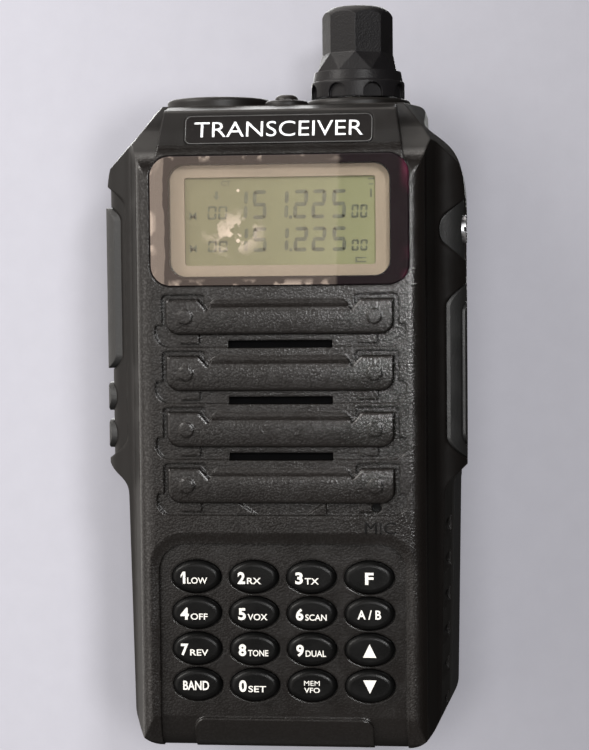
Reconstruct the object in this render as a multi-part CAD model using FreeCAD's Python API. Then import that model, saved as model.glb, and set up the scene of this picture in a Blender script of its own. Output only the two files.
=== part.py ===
import FreeCAD, Part
import math
import os

# Handheld aviation radio: casings, keypad, display, audio, boards, controls and battery pack.
#
# Frame: +Z up along the radio's height, front face towards -Y, +X to the right of someone facing it.
# The origin is under the middle of the radio, on the plane it stands on. Millimetres.

Vec = FreeCAD.Vector
X_AXIS, Y_AXIS, Z_AXIS = Vec(1, 0, 0), Vec(0, 1, 0), Vec(0, 0, 1)

# --- casing envelope ---------------------------------------------------------------------------
FACE_Y = -17.0            # flat front face
BACK_Y = 17.9             # back of the battery pack
PART_Y = 1.8              # parting plane between front housing and rear chassis
DECK_Z = 107.5            # top deck
CHEEK_HALF = 30.4         # half width across the PTT and the accessory cover
WAIST_HALF = 27.1         # half width just under the cheeks, at y = DRAFT_Y
FOOT_HALF = 26.4          # half width at the base, at y = DRAFT_Y
DRAFT, DRAFT_Y = 0.09, -6.0   # below the cheeks the sides widen towards the back
DECK_HALF = 23.6          # half width of the top deck
SHOULDER_Z = 88.0         # the cheeks start to round over here
PLATEAU_HALF = 21.3       # half width of the flat front face
FOOT_RADIUS = 6.0
WALL = 1.8
HOOD_Z = 101.0            # the front housing covers the whole top above this height
HOOD_Y = 12.0             # and reaches back to here

# --- header and nameplate ----------------------------------------------------------------------
HEADER_LOW_Z, HEADER_TOP_Z = 99.2, 106.4
HEADER_LOW_HALF, HEADER_TOP_HALF = 20.3, 19.2
HEADER_LEAN = 2.6         # how far the header leans back over its height
PLATE_W, PLATE_H, PLATE_T = 31.0, 5.1, 0.6

# --- display -----------------------------------------------------------------------------------
DISPLAY_Z = 88.1
LENS_W, LENS_H, LENS_T, LENS_R = 42.7, 21.4, 1.2, 3.4
LENS_GAP = 0.1
VIEW_W, VIEW_H, VIEW_R = 36.3, 18.3, 2.6      # opening in the housing under the lens
FRAME_W, FRAME_H, FRAME_Z = 39.0, 20.6, 88.0  # display frame behind the window
GLASS_W, GLASS_H = 31.6, 14.5                 # opening in the display frame

# --- speaker louvres ---------------------------------------------------------------------------
LOUVRE_COUNT, LOUVRE_PITCH = 4, 9.3
LOUVRE_TOP_Z = 76.0       # top of the first louvre's ears
LOUVRE_DROP = 6.6         # from the ears' top to the bar's lower edge
LOUVRE_HALF, EAR_INNER = 19.5, 12.4
BAR_RISE = 0.7            # bar above the front face
STRIP_DEPTH = 0.9         # strip under the bar, below the front face
STRIP_H = 2.1
STRIP_HALF = 20.8
GROOVE_W = 0.8
SLOT_HALF, SLOT_H = 8.6, 1.25

# --- keypad ------------------------------------------------------------------------------------
KEY_PITCH_X, KEY_PITCH_Z = 9.6, 6.03
KEY_TOP_ROW_Z = 29.1
KEY_HALF_W, KEY_HALF_H, KEY_END_R = 4.05, 2.7, 2.0
KEY_GAP = 0.18            # key to housing, all round
KEY_TRAVEL = 0.4
RECESS_HALF, RECESS_TOP_Z, RECESS_R, RECESS_DEPTH = 20.6, 34.7, 4.5, 1.0   # open at the foot
LIP_HALF, LIP_TOP_Z = 14.9, 5.4
KEY_NAMES = [
    ["key_1", "key_2", "key_3", "key_function"],
    ["key_4", "key_5", "key_6", "key_main"],
    ["key_7", "key_8", "key_9", "key_up"],
    ["key_band", "key_0", "key_memory", "key_down"],
]

# --- top controls ------------------------------------------------------------------------------
CONTROL_Y = 1.0
KNOB_X, PORT_X = 12.0, -12.0
BOSS_R = 9.0
KNOB_BOSS_H, PORT_BOSS_H = 1.2, 1.7
PORT_WELL_R, PORT_WELL_Z = 6.5, 103.4
STUD_R, STUD_LOW_Z, STUD_TOP_Z = 3.175, 103.6, 109.0   # antenna thread, as its major cylinder
SHANK_R = 2.9                                 # the connector's body below the thread
KNOB_LOW_Z, KNOB_TOP_Z = 109.0, 124.6
SHAFT_R = 2.0
BUSH_R = 3.5
STATUS_X, STATUS_Y = 0.3, -5.0

# --- side controls -----------------------------------------------------------------------------
PTT_LOW_Z, PTT_TOP_Z, PTT_Y, PTT_W = 63.2, 91.0, -4.6, 9.4
SIDE_POCKET_Z, SIDE_POCKET_H, SIDE_POCKET_W, SIDE_POCKET_DEPTH = 71.3, 46.8, 10.8, 0.8
SIDE_KEY_Z = {"side_key_upper": 58.6, "side_key_lower": 52.2}
SIDE_KEY_H, SIDE_KEY_W = 5.2, 7.4
COVER_Y, COVER_W = -4.6, 10.2
COVER_LOW_Z, COVER_TOP_Z, COVER_T = 47.9, 77.5, 1.6
ANCHOR_Z, ANCHOR_R = 86.4, 5.8
JACK_Z = {"large": (68.0, 1.8), "small": (56.0, 1.3)}

# --- boards and sound --------------------------------------------------------------------------
SPEAKER_Z, SPEAKER_R = 58.7, 17.6
MIC_X, MIC_Z = 15.7, 40.7
CONTROL_BOARD_Y, CONTROL_BOARD_T = -12.2, 1.0
RF_BOARD_Y, RF_BOARD_T = -5.0, 1.2
BOARD_HALF = 21.2
MEMBRANE_Y = -13.2
DOME_R, DOME_SKIN = 1.9, 0.1

# --- battery -----------------------------------------------------------------------------------
BAY_Y = 5.0               # back of the chassis plate, where the pack seats
PACK_Y = 5.2
PACK_LOW_Z, PACK_TOP_Z, PACK_HALF = 1.6, 87.6, 29.2
PACK_SPLIT_Y = 8.0
BLOCK_Z = 88.4            # underside of the block above the pack
LATCH_Z, LATCH_H, LATCH_TRAVEL = 90.2, 5.0, 3.0
CLIP_Z, CLIP_HALF, CLIP_HOLE_R = 97.6, 13.0, 1.5
CHASSIS_SCREWS = [(-24.0, 9.0), (24.0, 9.0), (-24.0, 82.0), (24.0, 82.0)]


# --- helpers -----------------------------------------------------------------------------------
def box(x0, x1, y0, y1, z0, z1):
    return Part.makeBox(x1 - x0, y1 - y0, z1 - z0, Vec(x0, y0, z0))


def tube_z(x, y, z0, z1, r):
    return Part.makeCylinder(r, z1 - z0, Vec(x, y, z0), Z_AXIS)


def disc_y(x, z, y0, y1, r):
    return Part.makeCylinder(r, y1 - y0, Vec(x, y0, z), Y_AXIS)


def disc_x(y, z, x0, x1, r):
    return Part.makeCylinder(r, x1 - x0, Vec(x0, y, z), X_AXIS)


def prism(points, direction):
    wire = Part.makePolygon([Vec(*p) for p in points] + [Vec(*points[0])])
    return Part.Face(wire).extrude(direction)


def rounded_edges(shape, radius, choose):
    """Fillets the edges that choose(edge) picks, one radius for all."""
    edges = [e for e in shape.Edges if choose(e)]
    return shape.makeFillet(radius, edges)


def along(edge, axis):
    """True for a straight edge that runs along an axis."""
    if len(edge.Vertexes) != 2:
        return False
    run = edge.Vertexes[1].Point - edge.Vertexes[0].Point
    return run.Length > 1e-6 and abs(abs(run.normalize().dot(axis)) - 1) < 1e-6


def rounded_panel_y(xc, zc, w, h, r, y0, y1):
    """A rounded rectangle in the XZ plane, from y0 back to y1."""
    block = box(xc - w / 2, xc + w / 2, y0, y1, zc - h / 2, zc + h / 2)
    return rounded_edges(block, r, lambda e: along(e, Y_AXIS))


def rounded_panel_x(yc, zc, w, h, r, x0, x1):
    """A rounded rectangle in the YZ plane, from x0 to x1."""
    block = box(x0, x1, yc - w / 2, yc + w / 2, zc - h / 2, zc + h / 2)
    return rounded_edges(block, r, lambda e: along(e, X_AXIS))


def oval(xc, zc, a, b, end_r, y0, y1):
    """A four-centre oval of half sizes a and b in the XZ plane, from y0 back to y1."""
    side = a - end_r
    big = (side * side + b * b - end_r * end_r) / (2 * (b - end_r))
    drop = big - b
    reach = math.hypot(side, drop)
    tx, tz = side / reach * big, drop / reach * big - drop

    def p(x, z):
        return Vec(xc + x, y0, zc + z)

    arcs = [
        Part.Arc(p(-tx, tz), p(0, b), p(tx, tz)),
        Part.Arc(p(tx, tz), p(a, 0), p(tx, -tz)),
        Part.Arc(p(tx, -tz), p(0, -b), p(-tx, -tz)),
        Part.Arc(p(-tx, -tz), p(-a, 0), p(-tx, tz)),
    ]
    wire = Part.Wire([arc.toShape() for arc in arcs])
    return Part.Face(wire).extrude(Vec(0, y1 - y0, 0))


def top_edges(shape, y, tolerance=1e-4):
    """Edges that lie in the plane at this y."""
    return [
        e for e in shape.Edges
        if abs(e.BoundBox.YMin - y) < tolerance and abs(e.BoundBox.YMax - y) < tolerance
    ]


def grid_keys():
    """Each key's name and centre."""
    for row, names in enumerate(KEY_NAMES):
        for column, name in enumerate(names):
            yield name, (column - 1.5) * KEY_PITCH_X, KEY_TOP_ROW_Z - row * KEY_PITCH_Z


def louvre_tops():
    return [LOUVRE_TOP_Z - i * LOUVRE_PITCH for i in range(LOUVRE_COUNT)]


# --- casing envelope ---------------------------------------------------------------------------
def silhouette(inset):
    """The outline seen from the front above the waist, as a face at y=0, pulled in by inset."""
    cheek, deck, top = CHEEK_HALF - inset, DECK_HALF - inset, DECK_Z - inset
    round_off = 1.2 * (1 - math.sqrt(0.5))
    fall = 0.7 * inset
    pieces = [Part.LineSegment(Vec(-cheek, 0, inset), Vec(cheek, 0, inset))]
    for sign in (1, -1):
        def p(x, z):
            return Vec(sign * x, 0, z)

        bend = p(27.2 - fall, 100.9 - fall)
        start, end = p(cheek, SHOULDER_Z - fall), p(deck, 104.6 - fall)
        pieces.append(Part.LineSegment(p(cheek, inset), start))
        shoulder = Part.BezierCurve()
        shoulder.setPoles([start, p(cheek, 95.0 - fall), p(29.8 - fall, 98.6 - fall), bend])
        neck = Part.BezierCurve()
        neck.setPoles([bend, p(25.4 - fall, 102.5 - fall), p(deck, 103.0 - fall), end])
        pieces += [shoulder, neck]
        pieces.append(Part.LineSegment(end, p(deck, top - 1.2)))
        pieces.append(Part.Arc(
            p(deck, top - 1.2), p(deck - round_off, top - round_off), p(deck - 1.2, top)
        ))
    pieces.append(Part.LineSegment(Vec(-deck + 1.2, 0, top), Vec(deck - 1.2, 0, top)))
    wire = Part.Wire(Part.__sortEdges__([c.toShape() for c in pieces]))
    return Part.Face(wire)


def waist_trim(inset, sign):
    """What is taken off one side below the cheek: a narrower, drafted waist with a round foot."""
    y0, y1 = -30.0, 30.0
    start = DRAFT * (y0 - DRAFT_Y) - inset
    foot, waist, cheek = FOOT_HALF + start, WAIST_HALF + start, CHEEK_HALF + 0.6 + start
    radius = FOOT_RADIUS - inset
    corner = radius * (1 - math.sqrt(0.5))

    def p(x, z):
        return Vec(sign * x, y0, z)

    swell = Part.BezierCurve()
    swell.setPoles([p(waist, 42.0), p(waist + 0.1, 46.0), p(cheek, 44.8), p(cheek, 50.0)])
    curves = [
        Part.Arc(p(foot - radius, inset), p(foot - corner, inset + corner), p(foot, inset + radius)),
        Part.LineSegment(p(foot, inset + radius), p(waist, 42.0)),
        swell,
        Part.LineSegment(p(cheek, 50.0), p(50, 50.0)),
        Part.LineSegment(p(50, 50.0), p(50, -5.0)),
        Part.LineSegment(p(50, -5.0), p(foot - radius, -5.0)),
        Part.LineSegment(p(foot - radius, -5.0), p(foot - radius, inset)),
    ]
    wire = Part.Wire(Part.__sortEdges__([c.toShape() for c in curves]))
    return Part.Face(wire).extrude(Vec(sign * DRAFT * (y1 - y0), y1 - y0, 0))


def plan_section(inset):
    """The cross-section seen from above: flat face, steep flank, cheek and rounded back."""
    f, c = PLATEAU_HALF, CHEEK_HALF + 0.6
    front, back = FACE_Y + inset, BACK_Y - inset
    pull = inset * 0.95

    def p(x, y):
        return Vec(x, y, -1)

    def side(sign):
        def q(x, y):
            return p(sign * x, y)
        edge = Part.BezierCurve()
        edge.setPoles([q(f - pull * 0.4, front), q(f + 1.9 - pull, front), q(f + 2.6 - pull, front + 1.6)])
        flank = Part.LineSegment(q(f + 2.6 - pull, front + 1.6), q(25.4 - pull, -11.4))
        fold = Part.BezierCurve()
        fold.setPoles([q(25.4 - pull, -11.4), q(25.9 - pull, -10.4), q(27.2 - pull, -9.9)])
        cheek = Part.BezierCurve()
        cheek.setPoles([q(27.2 - pull, -9.9), q(c - pull, -8.4), q(c - pull, -5.0)])
        wall = Part.LineSegment(q(c - pull, -5.0), q(c - pull, 9.5))
        back_edge = Part.BezierCurve()
        back_edge.setPoles([q(c - pull, 9.5), q(c - pull, back), q(24.5 - pull, back)])
        return [edge, flank, fold, cheek, wall, back_edge]

    curves = side(1) + side(-1)
    curves.append(Part.LineSegment(p(-f + pull * 0.4, front), p(f - pull * 0.4, front)))
    curves.append(Part.LineSegment(p(-24.5 + pull, back), p(24.5 - pull, back)))
    wire = Part.Wire(Part.__sortEdges__([s.toShape() for s in curves]))
    return Part.Face(wire).extrude(Vec(0, 0, DECK_Z + 2))


def side_profile(inset, with_header):
    """The outline seen from the side. The header leans; beside it the shoulders fall back."""
    front, back = FACE_Y + inset, BACK_Y - inset
    low, top = inset, DECK_Z - inset

    def p(y, z):
        return Vec(-40, y, z)

    foot = Part.BezierCurve()
    foot.setPoles([p(front + 4.2, low), p(front + 0.5, low), p(front, low + 5.6)])
    curves = [foot]
    if with_header:
        lean = front + HEADER_LEAN
        crest = HEADER_TOP_Z - inset
        curves.append(Part.LineSegment(p(front, low + 5.6), p(front, HEADER_LOW_Z - 0.8)))
        ridge = Part.BezierCurve()
        ridge.setPoles([p(front, HEADER_LOW_Z - 0.8), p(front, HEADER_LOW_Z), p(front + 0.5, HEADER_LOW_Z + 0.9)])
        curves.append(ridge)
        curves.append(Part.LineSegment(p(front + 0.5, HEADER_LOW_Z + 0.9), p(lean, crest - 0.4)))
        curves.append(Part.LineSegment(p(lean, crest - 0.4), p(lean + 0.5, crest)))
        curves.append(Part.LineSegment(p(lean + 0.5, crest), p(-8.6 + inset, top)))
        start = (-8.6 + inset, top)
    else:
        curves.append(Part.LineSegment(p(front, low + 5.6), p(front, 94.6)))
        fall = Part.BezierCurve()
        fall.setPoles([p(front, 94.6), p(front, 98.6), p(-13.4 + inset, 100.4), p(-10.6 + inset, 103.4 - inset)])
        curves.append(fall)
        rise = Part.BezierCurve()
        rise.setPoles([p(-10.6 + inset, 103.4 - inset), p(-9.4 + inset, 104.8 - inset), p(-9.2 + inset, top)])
        curves.append(rise)
        start = (-9.2 + inset, top)
    curves.append(Part.LineSegment(p(*start), p(HOOD_Y, top)))
    curves.append(Part.LineSegment(p(HOOD_Y, top), p(back, top - 5.0)))
    curves.append(Part.LineSegment(p(back, top - 5.0), p(back, low + 3.0)))
    heel = Part.BezierCurve()
    heel.setPoles([p(back, low + 3.0), p(back, low), p(back - 3.0, low)])
    curves.append(heel)
    curves.append(Part.LineSegment(p(back - 3.0, low), p(front + 4.2, low)))
    wire = Part.Wire(Part.__sortEdges__([s.toShape() for s in curves]))
    return Part.Face(wire).extrude(Vec(80, 0, 0))


def side_skin(proud):
    """The body between its two cheeks, grown by proud: what cuts the side fittings to shape."""
    half = CHEEK_HALF + proud
    return plan_section(-proud).common(box(-half, half, -40, 40, -5, 140))


def neck_trim(inset, sign):
    """A sloping cut that thins the neck towards the front, so the deck is narrower there."""
    corner, rear, low = Vec(20.2, -9.2, DECK_Z), Vec(DECK_HALF, 3.0, DECK_Z), Vec(26.6, -12.0, 99.4)
    along_deck, down = (rear - corner).normalize(), (low - corner).normalize()
    outward = down.cross(along_deck).normalize()
    reach = 30.0
    points = []
    for u, v in ((-1, -1), (1, -1), (1, 1), (-1, 1)):
        spot = corner + along_deck * (u * reach) + down * (v * reach) - outward * inset
        points.append((sign * spot.x, spot.y, spot.z))
    return prism(points, Vec(sign * outward.x, outward.y, outward.z) * reach)


def header_wedge(inset):
    """The wedge that the header's two sloping sides are cut to."""
    low, top = HEADER_LOW_Z - 6.0, DECK_Z + 1
    slope = (HEADER_LOW_HALF - HEADER_TOP_HALF) / (HEADER_TOP_Z - HEADER_LOW_Z)
    wide = HEADER_LOW_HALF + 6.0 * slope - inset
    narrow = HEADER_TOP_HALF - (top - HEADER_TOP_Z) * slope - inset
    points = [(-wide, -30, low), (wide, -30, low), (narrow, -30, top), (-narrow, -30, top)]
    return prism(points, Vec(0, 26, 0))


def envelope(inset):
    """The whole radio as one smooth solid, pulled in by inset: housing, chassis and pack.

    Pulled in, it leaves out the header, so the wall behind the nameplate is thicker.
    """
    outline = silhouette(inset)
    outline.translate(Vec(0, -30, 0))
    slab = outline.extrude(Vec(0, 60, 0)).common(plan_section(inset))
    body = slab.common(side_profile(inset, False))
    body = body.cut(neck_trim(inset, 1)).cut(neck_trim(inset, -1))
    if not inset:
        header = slab.common(side_profile(inset, True)).common(header_wedge(inset))
        body = body.fuse(header).removeSplitter()
    return body.cut(waist_trim(inset, 1)).cut(waist_trim(inset, -1))


# --- front housing -----------------------------------------------------------------------------
def hood_zone(gap):
    """Everything that belongs to the front housing: in front of the parting, and the hood."""
    front = box(-40, 40, -40, PART_Y, -5, 140)
    hood = box(-40, 40, -40, HOOD_Y, HOOD_Z + gap, 140)
    return front.fuse(hood)


def louvre_pocket(top):
    """What one louvre takes out of the front face: ear grooves and the strip under the bar."""
    bar_low = top - LOUVRE_DROP
    out_y, deep = FACE_Y - 1, FACE_Y + STRIP_DEPTH
    strip = rounded_panel_y(
        0, bar_low + 0.5, 2 * STRIP_HALF, 2 * STRIP_H + 1.0, 2.5, out_y, deep
    )
    strip = strip.common(box(-30, 30, -30, 0, bar_low - STRIP_H, bar_low + 1.6))
    pocket = strip
    for sign in (1, -1):
        inner, outer = sign * EAR_INNER, sign * (LOUVRE_HALF + 0.1)
        ear = rounded_panel_y(
            (inner + outer) / 2, top - LOUVRE_DROP / 2, abs(outer - inner), LOUVRE_DROP, 0.7, out_y, deep
        )
        pocket = pocket.fuse(ear)
    return pocket


def louvre_bar(top):
    """One raised bar: two ears, a sloping top between them and a rounded lower edge."""
    low, high = top - LOUVRE_DROP, top - GROOVE_W
    half = LOUVRE_HALF - 0.7
    seat, crest = FACE_Y + STRIP_DEPTH + 0.3, FACE_Y - BAR_RISE
    outline = [
        (-half, low), (half, low), (half, high), (EAR_INNER + 1.0, high),
        (EAR_INNER - 0.4, top - 2.4), (-EAR_INNER + 0.4, top - 2.4), (-EAR_INNER - 1.0, high), (-half, high),
    ]
    bar = prism([(x, crest, z) for x, z in outline], Vec(0, seat - crest, 0))
    low_corners = [
        e for e in bar.Edges
        if along(e, Y_AXIS) and abs(e.Vertexes[0].Z - low) < 1e-6
    ]
    bar = bar.makeFillet(2.2, low_corners)
    bar = bar.makeFillet(0.45, top_edges(bar, crest))
    brow_half = EAR_INNER - 0.7
    ramp = prism(
        [(-brow_half, FACE_Y + 0.4, top - 0.8), (-brow_half, FACE_Y - 0.12, top - 0.8),
         (-brow_half, crest + 0.08, top - 2.3), (-brow_half, crest + 0.08, top - 2.9),
         (-brow_half, FACE_Y + 0.4, top - 2.9)],
        Vec(2 * brow_half, 0, 0),
    )
    brow = rounded_panel_y(0, top - 2.8, 2 * brow_half, 4.0, 1.8, FACE_Y - 2, FACE_Y + 2)
    bar = bar.fuse(ramp.common(brow))
    for x in (-15.6, 15.6):
        rivet = disc_y(x, top - 3.7, crest - 0.22, crest + 0.5, 1.25)
        rivet = rivet.makeFillet(0.2, top_edges(rivet, crest - 0.22))
        bar = bar.fuse(rivet)
    return bar


def keypad_recess():
    """The sunken field of the keypad. It runs out over the rounded foot, either side of the lip."""
    low = -12.0
    field = rounded_panel_y(
        0, (RECESS_TOP_Z + low) / 2, 2 * RECESS_HALF, RECESS_TOP_Z - low, RECESS_R, FACE_Y - 2, FACE_Y + 8
    )
    lip = rounded_panel_y(
        0, (LIP_TOP_Z + low) / 2, 2 * LIP_HALF, LIP_TOP_Z - low, 1.8, FACE_Y - 4, FACE_Y + 8
    )
    floor = side_profile(0.0, False)
    floor.translate(Vec(0, RECESS_DEPTH, 0))
    return field.cut(floor).cut(lip)


def strip_pads(top, last):
    """Small lands in the strip under a bar; the last strip carries a shallow V instead of a slot."""
    bar_low = top - LOUVRE_DROP
    floor, skin = FACE_Y + STRIP_DEPTH, FACE_Y + 0.35
    pads = []
    for x in (-15.0, 14.5):
        pads.append(box(x - 1.6, x + 1.6, skin, floor + 0.3, bar_low - 1.5, bar_low + 0.4))
    if last:
        for sign in (1, -1):
            foot, shoulder = sign * 4.2, sign * 7.4
            points = [
                (foot, skin, bar_low - STRIP_H + 0.1), (shoulder, skin, bar_low - STRIP_H + 0.1),
                (shoulder, skin, bar_low + 0.2),
            ]
            pads.append(prism(points, Vec(0, floor + 0.3 - skin, 0)))
    return pads


def flank_grooves():
    """Finger grooves down both lower flanks."""
    cuts = []
    for i in range(6):
        z = 5.6 + i * 6.1
        for sign in (1, -1):
            side = FOOT_HALF + (WAIST_HALF - FOOT_HALF) * z / 42.0 + DRAFT * (-8.6 - DRAFT_Y)
            start = Vec(sign * (side + 0.85), -8.6, z)
            groove = Part.makeCylinder(1.7, 9.8, start, Vec(sign * DRAFT, 1, 0))
            cuts.append(groove.fuse(Part.makeSphere(1.7, start)))
    return cuts


def make_front_housing(outer, inner):
    zone = outer.common(hood_zone(0))
    shell = zone.cut(inner)
    # walls that the display, the speaker and the screws need inside
    adds = [rounded_panel_y(0, DISPLAY_Z, LENS_W + 3, LENS_H + 2.4, 3, FACE_Y + 0.6, FACE_Y + WALL)]
    for x, z in CHASSIS_SCREWS:
        adds.append(disc_y(x, z, -13.0, PART_Y, 2.3))
    well = tube_z(PORT_X, CONTROL_Y, PORT_WELL_Z - 1.4, DECK_Z, PORT_WELL_R + 1.3)
    adds.append(well)
    # two lugs that carry the PTT's pin, and a thicker wall behind the accessory cover
    low, high = PTT_TOP_Z - 4.8, PTT_TOP_Z - 0.8
    adds.append(box(-27.7, -25.9, PTT_Y - 6.2, PTT_Y - 2.9, low, high))
    adds.append(box(-27.7, -25.9, PTT_Y + 2.9, PART_Y - 0.6, low, high))
    adds.append(box(-29.5, -25.9, PTT_Y + PTT_W / 2 + 0.2, PART_Y - 0.6, low, high))
    backing = box(20, 34, COVER_Y - 6.0, PART_Y - 0.6, COVER_LOW_Z - 2, ANCHOR_Z + ANCHOR_R + 1.6)
    adds.append(backing.cut(side_skin(-COVER_T - WALL)))
    for part in adds:
        shell = shell.fuse(part.common(zone))
    for x, h in ((KNOB_X, KNOB_BOSS_H), (PORT_X, PORT_BOSS_H)):
        boss = tube_z(x, CONTROL_Y, DECK_Z - 0.5, DECK_Z + h, BOSS_R)
        rim = [e for e in boss.Edges if abs(e.BoundBox.ZMin - DECK_Z - h) < 1e-4]
        shell = shell.fuse(boss.makeFillet(0.7, rim))
    lamp = tube_z(STATUS_X, STATUS_Y, DECK_Z - 0.5, DECK_Z + 0.9, 3.7)
    rim = [e for e in lamp.Edges if abs(e.BoundBox.ZMin - DECK_Z - 0.9) < 1e-4]
    shell = shell.fuse(lamp.makeFillet(0.6, rim))

    # raised bars over their pockets, then the slots through the wall
    tops = louvre_tops()
    for top in tops:
        shell = shell.cut(louvre_pocket(top))
    for i, top in enumerate(tops):
        shell = shell.fuse(louvre_bar(top))
        for pad in strip_pads(top, i == LOUVRE_COUNT - 1):
            shell = shell.fuse(pad)
    for top in tops[:-1]:
        z = top - LOUVRE_DROP - 1.0
        shell = shell.cut(box(-SLOT_HALF, SLOT_HALF, -20, -14, z - SLOT_H, z))

    cuts = []
    # display window
    cuts.append(rounded_panel_y(
        0, DISPLAY_Z, LENS_W + 2 * LENS_GAP, LENS_H + 2 * LENS_GAP, LENS_R + LENS_GAP,
        FACE_Y - 2, FACE_Y + LENS_T - 0.1,
    ))
    cuts.append(rounded_panel_y(0, DISPLAY_Z, VIEW_W, VIEW_H, VIEW_R, FACE_Y - 1, FACE_Y + 4))
    cuts.append(rounded_panel_y(0, FRAME_Z, FRAME_W + 0.4, FRAME_H + 0.4, 1.2, FACE_Y + WALL, FACE_Y + 5))
    # keypad recess and key holes
    cuts.append(keypad_recess())
    for _, x, z in grid_keys():
        a, b = KEY_HALF_W + KEY_GAP, KEY_HALF_H + KEY_GAP
        cuts.append(oval(x, z, a, b, KEY_END_R + KEY_GAP, FACE_Y - 1, FACE_Y + 4))
    # microphone port
    cuts.append(disc_y(MIC_X, MIC_Z, FACE_Y - 1, FACE_Y + 4, 0.8))
    # nameplate recess, square to the leaning header
    cuts.append(nameplate(0.08, 2.0))
    # top deck: shaft bushing, its nut recess, antenna well and connector, status lamp
    cuts.append(tube_z(KNOB_X, CONTROL_Y, 100, DECK_Z + 3, BUSH_R + 0.1))
    cuts.append(tube_z(KNOB_X, CONTROL_Y, DECK_Z - 0.2, DECK_Z + 3, 6.2))
    cuts.append(tube_z(PORT_X, CONTROL_Y, PORT_WELL_Z, DECK_Z + 3, PORT_WELL_R))
    cuts.append(tube_z(PORT_X, CONTROL_Y, 98, DECK_Z + 3, STUD_R + 0.1))
    cuts.append(tube_z(STATUS_X, STATUS_Y, 100, DECK_Z + 3, 2.05))
    # long shallow pocket on the left, with the PTT and the side keys in it
    skin = side_skin(-SIDE_POCKET_DEPTH)
    pocket = rounded_panel_x(PTT_Y, SIDE_POCKET_Z, SIDE_POCKET_W, SIDE_POCKET_H, 4.0, -33, -24)
    cuts.append(pocket.cut(skin))
    cuts.append(ptt_axle(8.0, 0.52))
    z_mid, z_len = (PTT_LOW_Z + PTT_TOP_Z) / 2, PTT_TOP_Z - PTT_LOW_Z
    through = side_skin(-2.6)
    cuts.append(rounded_panel_x(PTT_Y, z_mid, PTT_W, z_len, 2.6, -33, -24).cut(through))
    for z in SIDE_KEY_Z.values():
        cuts.append(rounded_panel_x(PTT_Y, z, SIDE_KEY_W, SIDE_KEY_H, 2.4, -33, -24).cut(through))
    # accessory cover seat, its jacks and the anchor's round recess on the right
    seat = side_skin(-COVER_T - 0.1)
    z_mid, z_len = (COVER_LOW_Z + COVER_TOP_Z) / 2, COVER_TOP_Z - COVER_LOW_Z + 0.4
    cuts.append(rounded_panel_x(COVER_Y, z_mid, COVER_W + 0.4, z_len, 4.2, 24, 34).cut(seat))
    cuts.append(disc_x(COVER_Y, ANCHOR_Z, 24, 34, ANCHOR_R + 0.1).cut(seat))
    neck = box(24, 34, COVER_Y - 2.6, COVER_Y + 2.6, COVER_TOP_Z - 2, ANCHOR_Z - 2)
    cuts.append(neck.cut(seat))
    cuts.append(disc_x(COVER_Y, ANCHOR_Z, 20, 34, 1.1))
    for z, r in JACK_Z.values():
        cuts.append(disc_x(COVER_Y, z, 20, 34, r + 1.6))
    # pilot holes for the chassis screws
    for x, z in CHASSIS_SCREWS:
        cuts.append(disc_y(x, z, -7.0, PART_Y + 1, 0.9))
    cuts += flank_grooves()
    # half of the gasket's groove
    cuts.append(gasket_ring(outer, PART_Y - 0.45, PART_Y + 0.1, 0.0))
    for cut in cuts:
        shell = shell.cut(cut)

    return shell


def nameplate(grow, reach):
    """The plate, square to the header's lean. grow widens it and reach carries it outwards."""
    low_y, top_y = FACE_Y + 0.5, FACE_Y + HEADER_LEAN
    low_z, top_z = HEADER_LOW_Z + 0.9, HEADER_TOP_Z - 0.4
    lean = math.degrees(math.atan2(top_y - low_y, top_z - low_z))
    w, h = PLATE_W + 2 * grow, PLATE_H + 2 * grow
    plate = rounded_panel_y(0, 0, w, h, 1.0 + grow, -reach, PLATE_T + grow)
    plate.rotate(Vec(0, 0, 0), X_AXIS, -lean)
    plate.translate(Vec(0, (low_y + top_y) / 2, (low_z + top_z) / 2))
    return plate


# --- rear chassis ------------------------------------------------------------------------------
def gasket_ring(outer, y0, y1, gap):
    """A U-shaped cord that follows the parting line's wall. gap thins it on both sides."""
    wire = max(outer.slice(Y_AXIS, PART_Y), key=lambda w: w.BoundBox.DiagonalLength)
    points = wire.discretize(QuasiDeflection=0.02)
    outline = Part.Face(Part.makePolygon(points + points[:1]))

    def band(inset):
        face = outline.makeOffset2D(-inset)
        face.translate(Vec(0, y0 - PART_Y, 0))
        return face.extrude(Vec(0, y1 - y0, 0))

    ring = band(0.5 + gap).cut(band(1.3 - gap))
    return ring.common(box(-40, 40, -40, 40, -5, 98.5))


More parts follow.
